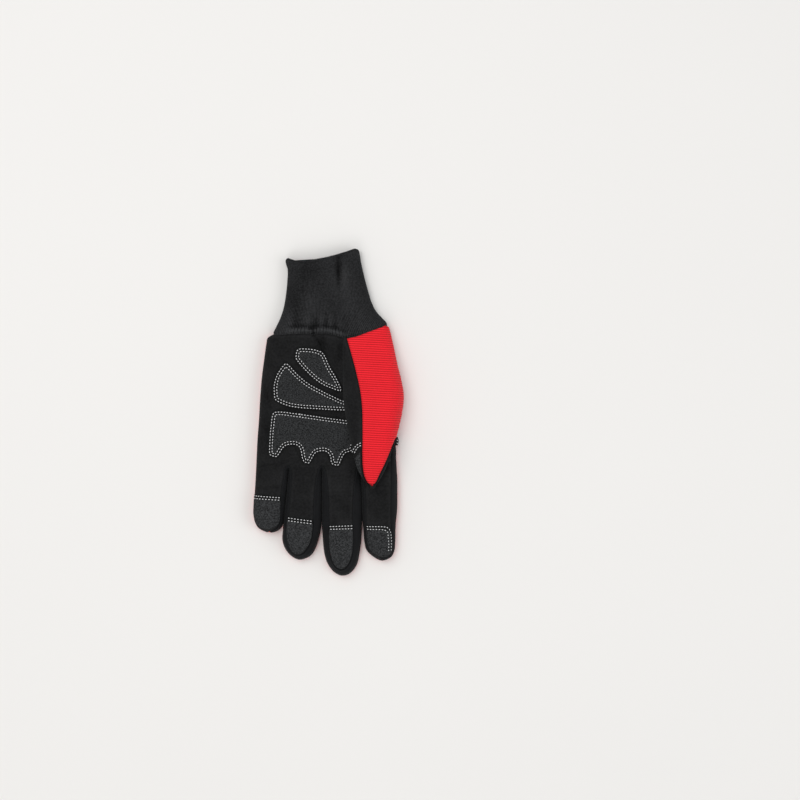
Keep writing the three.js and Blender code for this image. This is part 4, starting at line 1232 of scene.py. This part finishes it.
def stitch_shape(length, radius):
    """One stitch: a thread of six sides that dips at both ends, as points and faces."""
    along = np.array([-0.5, -0.42, -0.2, 0.2, 0.42, 0.5]) * length
    thick = np.array([0.15, 0.75, 1, 1, 0.75, 0.15]) * radius
    dip = np.array([-1.3, -0.7, 0, 0, -0.7, -1.3]) * radius
    turn = np.arange(6) * np.pi / 3
    x = np.repeat(along, 6)
    y = np.outer(thick, np.cos(turn)).ravel()
    z = (np.outer(thick, np.sin(turn)) + dip[:, None]).ravel()
    ring = np.arange(6)
    after = (ring + 1) % 6
    quads = [np.stack([ring, after, after + 6, ring + 6], 1) + 6 * k for k in range(5)]
    caps = np.array([[0, 3, 2, 1], [0, 5, 4, 3], [30, 31, 32, 33], [30, 33, 34, 35]])
    return np.stack([x, y, z], 1), np.vstack([*quads, caps])


def stitches(name, runs, length, radius, pitch):
    """One mesh of stitches along runs of points, each run with its upward directions.

    A stitch stands at every pitch along the run, laid along it and bedded in the surface.
    """
    shape, faces = stitch_shape(length, radius)
    points, all_faces, start = [], [], 0
    for run, up in runs:
        lengths = lengths_along(run)
        count = max(2, int(lengths[-1] / pitch))
        at = (np.arange(count) + 0.5) * lengths[-1] / count
        centre, rise_up = sampled(run, lengths, at), sampled(up, lengths, at)
        along = unit(sampled(run, lengths, at + 0.4) - sampled(run, lengths, at - 0.4))
        side = np.cross(rise_up, along)
        along = along + side * (0.1 * np.sin(at * 9.7))[:, None]
        placed = (
            centre[:, None] + along[:, None] * shape[None, :, :1]
            + side[:, None] * shape[None, :, 1:2] + unit(rise_up)[:, None] * shape[None, :, 2:]
        )
        points.append(placed.reshape(-1, 3))
        shift = np.arange(count)[:, None, None] * len(shape) + start
        all_faces.append((faces[None] + shift).reshape(-1, 4))
        start += count * len(shape)
    return mesh_object(name, np.vstack(points), np.vstack(all_faces))


def colour(name, value, text):
    """A colour that a user can change."""
    return FloatVectorProperty(
        name=name, default=value, size=4, min=0, max=1, subtype="COLOR", description=text
    )


def length(name, value, text):
    """A length that a user can change, in metres."""
    return FloatProperty(
        name=name, default=value, min=0, soft_max=0.01, precision=5, unit="LENGTH",
        description=text,
    )


class GloveSizes(bpy.types.PropertyGroup):
    """Sizes that a user would change."""

    leather: length("Leather", 0.0016, "Thickness of the palm, thumb and side leather")
    fabric: length("Fabric", 0.0014, "Thickness of the red fabric")
    knit: length("Knit", 0.0024, "Thickness of the doubled cuff")
    pad: length("Pad", 0.0012, "Height of a palm pad's edge over the leather")
    pad_puff: length("Pad puff", 0.0007, "How far a palm pad swells inside its stitches")
    patch: length("Patch", 0.0009, "Thickness of a fingertip patch")
    gap: length("Gap", 0.00035, "How far pads and patches lie off the leather")
    rib_pitch: length("Red rib pitch", 0.0018, "Distance between the ribs of the red fabric")
    stitch: length("Stitch", 0.0015, "Length of one stitch")
    stitch_pitch: length("Stitch pitch", 0.0024, "Distance between stitches")
    stitch_radius: length("Thread radius", 0.0003, "Radius of the sewing thread")
    knit_ribs: IntProperty(
        name="Knit ribs", default=138, min=40, max=260, description="Ribs round the cuff"
    )


class GloveColours(bpy.types.PropertyGroup):
    """Colours that a user would change."""

    palm: colour("Palm", (0.0086, 0.0086, 0.0088, 1), "Palm and thumb leather")
    side: colour("Side strips", (0.0078, 0.0081, 0.0088, 1), "Strips between the fingers")
    red: colour("Red", (0.82, 0.016, 0.026, 1), "Fabric of the back and the thumb")
    knit: colour("Knit", (0.0185, 0.0187, 0.0194, 1), "Cuff")
    grip: colour("Grip", (0.0155, 0.016, 0.0165, 1), "Pads and fingertips")
    thread: colour("Thread", (0.8, 0.8, 0.8, 1), "Sewing thread")
    table: colour("Table", (0.785, 0.768, 0.742, 1), "Table top")


def once(name, build):
    """The material of this name, built the first time that it is asked for."""
    return bpy.data.materials.get(name) or build()


def colours():
    """The scene's colours."""
    return bpy.context.scene.glove_colours


def sizes():
    """The scene's sizes."""
    return bpy.context.scene.glove_sizes


def suede_finish():
    """The leather of the palm and the thumb."""
    return once("suede", lambda: suede(colours().palm))


def red_finish():
    """The fabric of the back and the thumb."""
    return once("ribbed red", lambda: ribbed_red(colours().red, sizes().rib_pitch))


def side_finish():
    """The cloth of the side strips."""
    return once("side cloth", lambda: side_cloth(colours().side))


def grip_finish(name="grip coating", lightness=1.0):
    """The coating of the pads, or a lighter one, with a border as dark as the leather."""
    dark = shade(colours().palm, 0.8)
    return once(name, lambda: grip(name, shade(colours().grip, lightness), dark))


def thread_finish():
    """The sewing thread."""
    return once("sewing thread", lambda: thread(colours().thread))


class GLOVE_OT_palm(bpy.types.Operator):
    """Builds the leather sheet of the palm and the finger fronts"""

    bl_idname = "glove.palm"
    bl_label = "Palm"

    def execute(self, context):
        grids, light = front_sheet()
        made = make_mesh("palm_leather_sheet", grids, {"light": light})
        dress(thicken(made, sizes().leather), suede_finish(), ["palm_panel"])
        return {"FINISHED"}


class GLOVE_OT_back(bpy.types.Operator):
    """Builds the red sheet of the back of the hand and of the fingers"""

    bl_idname = "glove.back"
    bl_label = "Back"

    def execute(self, context):
        grids = back_sheet()
        along = flat_list([grid[..., 1] - grid[..., 2] for grid in grids]) * MM
        made = make_mesh("back_fabric_sheet", grids, {"along": along})
        dress(thicken(made, sizes().fabric), red_finish(), ["back_panel"])
        return {"FINISHED"}


class GLOVE_OT_side_strips(bpy.types.Operator):
    """Builds the black strips down the sides of the fingers"""

    bl_idname = "glove.side_strips"
    bl_label = "Side strips"

    def execute(self, context):
        pieces = [
            ("little_ring", gusset("little", "ring"), "little_ring_gusset"),
            ("ring_middle", gusset("ring", "middle"), "ring_middle_gusset"),
            ("middle_index", gusset("middle", "index"), "middle_index_gusset"),
            ("index_outer", index_strip(), "index_side_strip"),
        ]
        for name, grid, node in pieces:
            made = thicken(make_mesh(name + "_strip", [grid]), sizes().leather)
            dress(made, side_finish(), [node])
        return {"FINISHED"}


class GLOVE_OT_thumb(bpy.types.Operator):
    """Builds the thumb's red back and its black leather"""

    bl_idname = "glove.thumb"
    bl_label = "Thumb"

    def execute(self, context):
        grids = red_thumb()
        along = flat_list([grid[..., 1] for grid in grids]) * MM
        red = make_mesh("thumb_red_back", grids, {"along": along})
        dress(thicken(red, sizes().fabric), red_finish(), ["thumb_back"])
        grids, light = black_thumb()
        black = make_mesh("thumb_leather", grids, {"light": light})
        dress(thicken(black, sizes().leather), suede_finish(), ["thumb_front"])
        return {"FINISHED"}


class GLOVE_OT_cuff(bpy.types.Operator):
    """Builds the rib-knit cuff"""

    bl_idname = "glove.cuff"
    bl_label = "Cuff"

    def execute(self, context):
        grid, attributes = cuff_grid(sizes().knit_ribs, sizes().knit / MM)
        made = make_mesh("rib_knit_cuff", [grid], attributes, close=True)
        dress(made, once("rib knit", lambda: rib_knit(colours().knit)), ["knit_cuff"])
        return {"FINISHED"}


def grip_piece(name, top, bottom, inside, finish, node):
    """A closed grip piece, with a number from 0 at its border to 1 inside it."""
    grids = [top, bottom, *walls(top, bottom)]
    rest = [np.zeros(grid.shape[:2]) for grid in grids[1:]]
    made = make_mesh(name, grids, {"inside": flat_list([inside, *rest])}, close=True)
    return dress(made, finish, [node])


def build_pad(name, plan, edge, thickness, puff, node):
    """One pad of the palm, its sewn band dark."""
    top, bottom, d = pad_grids(plan, edge, sizes().gap / MM, thickness, puff)
    inside = ease(d, PAD_ROWS[-1] + 0.1, PAD_ROWS[-1] + 0.9)
    return grip_piece(name, top, bottom, inside, grip_finish(), node)


class GLOVE_OT_pads(bpy.types.Operator):
    """Builds the three padded grips on the palm"""

    bl_idname = "glove.pads"
    bl_label = "Palm pads"

    def execute(self, context):
        for name, (upper, lower) in PADS.items():
            count = 230 if name == "knuckle_pad" else 170
            plan = ruled(*loop_halves(upper, lower, count), crowded(76, 0.6))
            made = build_pad(
                name.replace("_pad", "_grip"), plan, edge_of(upper, lower),
                sizes().pad / MM, sizes().pad_puff / MM, name,
            )
        return {"FINISHED"}


class GLOVE_OT_patches(bpy.types.Operator):
    """Builds the grip patches on the fingertips, the thumb and the web"""

    bl_idname = "glove.patches"
    bl_label = "Tip patches"

    def execute(self, context):
        for name, (left, right) in PATCHES.items():
            a, b = halves(left, right, 110)
            sewn = np.stack([a[0], b[0]])
            build_patch(name + "_grip", ruled(a, b, crowded(70, 0.6)), sewn, hand_top, name)
        a, b = (curve(points, 90) for points in THUMB_PATCH)
        plan = ruled(a, b, crowded(40, 0.5))
        build_patch("thumb_tip_grip", plan, np.stack([a[0], b[0]]), thumb_top, "thumb_tip")
        web_patch()
        return {"FINISHED"}


def build_patch(name, plan, sewn, surface, node):
    """A thin grip patch: rounded edges, a sewn edge with two rows and a dark band there."""
    gap, thickness = sizes().gap / MM, sizes().patch / MM
    edge = np.vstack([plan[0], plan[:, -1], plan[-1, ::-1], plan[::-1, 0]])
    d = distance(plan, edge, True)
    from_sewn = distance(plan, sewn)
    swell = thickness * rise(d, 0.9)
    for row in PATCH_ROWS:
        swell = swell - 0.25 * bell(from_sewn, row, 0.45)
    base = with_height(plan, surface(plan))
    top = pushed(base, gap + swell)
    bottom = pushed(base, np.full(d.shape, gap * 0.3))
    if (normals(top)[..., 2]).sum() < 0:
        top, bottom, d, from_sewn = top[::-1], bottom[::-1], d[::-1], from_sewn[::-1]
    inside = ease(from_sewn, PATCH_ROWS[-1] + 0.1, PATCH_ROWS[-1] + 0.8) * ease(d, 0.3, 1.0)
    finish = grip_finish("tip coating", 1.25)
    return grip_piece(name, top, bottom[::-1], inside, finish, node)


def web_face(y, share, flare=0.0):
    """How far out the web patch's face is, bowed along it and from its top to its foot.

    The bow from top to foot is less by the flare at the patch's two ends.
    """
    along = (y - WEB_MIDDLE) / WEB_HALF
    return WEB_OUT - 2.4 * (2 * share - 1) ** 2 * (1 - flare * along**4) - 0.9 * along**2


def web_patch():
    """The small stitched end of the web's patch, which curls round the hand's edge."""
    t, s = np.linspace(0, 1, 24)[:, None], np.linspace(0, 1, 20)[None]
    y = WEB_MIDDLE + WEB_HALF * (1 - 2 * t) + 0 * s
    z = WEB_TOP - WEB_DROP * s + 0 * t
    outer = facing(np.stack([web_face(y, s, 0.35), y, z], -1), (1, 0, 0))
    inner = (outer - (1.2, 0, 0))[::-1]
    inside = np.zeros(outer.shape[:2])
    return grip_piece("web_patch_grip", outer, inner, inside, grip_finish(), "web_patch")


def run_on(points, surface, amount, count=60):
    """A row of stitches over a surface: its points and their upward directions."""
    plan = curve(points, count)
    return frames(plan, surface, np.full(len(plan), amount))


class GLOVE_OT_stitching(bpy.types.Operator):
    """Sews the double rows of light thread"""

    bl_idname = "glove.stitching"
    bl_label = "Stitching"

    def execute(self, context):
        s = sizes()
        thread_size = (s.stitch / MM, s.stitch_radius / MM, s.stitch_pitch / MM)
        lift = (s.gap + s.pad) / MM
        runs = []
        for upper, lower in PADS.values():
            edge = edge_of(upper, lower)
            for inwards in PAD_ROWS:
                ring = offset_curve(edge, inwards)
                limit = np.interp(ring[:, 1], THUMB_LEFT[::-1, 1], THUMB_LEFT[::-1, 0])
                ring = ring[ring[:, 0] < limit + 1]
                runs.append(frames(ring, hand_top, np.full(len(ring), lift - 0.24)))
        runs.append(run_on(BACKTACK, hand_top, lift - 0.25, 8))
        pads = stitches("pad_stitches", split_runs(runs), *thread_size)
        dress(pads, thread_finish())
        patch_lift = (s.gap + s.patch) / MM
        tips = stitches(
            "tip_stitches", [run_on(row, hand_top, patch_lift - 0.12) for row in TIP_ROWS],
            *thread_size,
        )
        dress(tips, thread_finish())
        thumb_runs = [run_on(row, thumb_top, patch_lift - 0.1) for row in THUMB_ROWS]
        share = np.linspace(0.04, 0.9, 20)
        for y in WEB_STITCH_ROWS:
            x = web_face(y, share) + 0.2
            line = np.stack([x, y + 0 * share, WEB_TOP - WEB_DROP * share], 1)
            up = np.stack([1 + 0 * share, 0 * share, 0.9 * (1 - 2 * share)], 1)
            thumb_runs.append((line, unit(up)))
        thumb = stitches("thumb_stitches", thumb_runs, *thread_size)
        dress(thumb, thread_finish())
        return {"FINISHED"}


def split_runs(runs):
    """Cuts each run where it jumps, so that no stitch bridges a gap."""
    out = []
    for points, up in runs:
        jumps = np.flatnonzero(np.linalg.norm(np.diff(points[:, :2], axis=0), axis=1) > 2.5) + 1
        for part, part_up in zip(np.split(points, jumps), np.split(up, jumps)):
            if len(part) > 3:
                out.append((part, part_up))
    return out


class GLOVE_OT_stage(bpy.types.Operator):
    """Sets the table, the soft light and the camera above the glove"""

    bl_idname = "glove.stage"
    bl_label = "Stage"

    def execute(self, context):
        scene = context.scene
        ground = 3000.0 * np.array([[-1, -1, 0], [1, -1, 0], [1, 1, 0], [-1, 1, 0]])
        floor = mesh_object("table_top", ground, np.array([[0, 1, 2, 3]]))
        floor.data.materials.append(table_top(colours().table))
        for name, (place, size, energy, tint) in LAMPS.items():
            lamp = bpy.data.lights.new(name, "AREA")
            lamp.shape, lamp.size, lamp.energy, lamp.color = "DISK", size, energy, tint
            holder = bpy.data.objects.new(name, lamp)
            holder.location = place
            holder.rotation_euler = (-Vector(place)).to_track_quat("-Z", "Y").to_euler()
            scene.collection.objects.link(holder)
        world = bpy.data.worlds.new("soft room")
        world.use_nodes = True
        background = world.node_tree.nodes["Background"]
        background.inputs["Color"].default_value = ROOM_TINT
        background.inputs["Strength"].default_value = ROOM_LIGHT
        scene.world = world
        scene.view_settings.view_transform = "Standard"
        camera = bpy.data.objects.new("camera", bpy.data.cameras.new("camera"))
        camera.data.lens, camera.data.sensor_width = LENS, SENSOR
        camera.location = Vector(PICTURE_CENTRE) + Vector((0, 0, PICTURE_WIDTH * LENS / SENSOR))
        scene.collection.objects.link(camera)
        scene.camera = camera
        return {"FINISHED"}


class GLOVE_PT_panel(bpy.types.Panel):
    """Lists the glove's pieces, sizes and colours"""

    bl_label = "Work glove"
    bl_idname = "GLOVE_PT_panel"
    bl_space_type = "VIEW_3D"
    bl_region_type = "UI"
    bl_category = "Glove"

    def draw(self, context):
        for operator in OPERATORS:
            self.layout.operator(operator.bl_idname)
        for group in (context.scene.glove_sizes, context.scene.glove_colours):
            for key in group.__annotations__:
                self.layout.prop(group, key)


OPERATORS = (
    GLOVE_OT_palm, GLOVE_OT_back, GLOVE_OT_side_strips, GLOVE_OT_thumb, GLOVE_OT_cuff,
    GLOVE_OT_pads, GLOVE_OT_patches, GLOVE_OT_stitching, GLOVE_OT_stage,
)


def register():
    """Adds the classes and the scene's two groups of properties."""
    for part in (GloveSizes, GloveColours, *OPERATORS, GLOVE_PT_panel):
        bpy.utils.register_class(part)
    bpy.types.Scene.glove_sizes = PointerProperty(type=GloveSizes)
    bpy.types.Scene.glove_colours = PointerProperty(type=GloveColours)


def unregister():
    """Takes away what register added."""
    del bpy.types.Scene.glove_sizes
    del bpy.types.Scene.glove_colours
    for part in (GLOVE_PT_panel, *reversed(OPERATORS), GloveColours, GloveSizes):
        bpy.utils.unregister_class(part)


def main():
    """Builds the glove and its stage."""
    register()
    for operator in OPERATORS:
        family, name = operator.bl_idname.split(".")
        getattr(getattr(bpy.ops, family), name)()


if __name__ == "__main__":
    main()
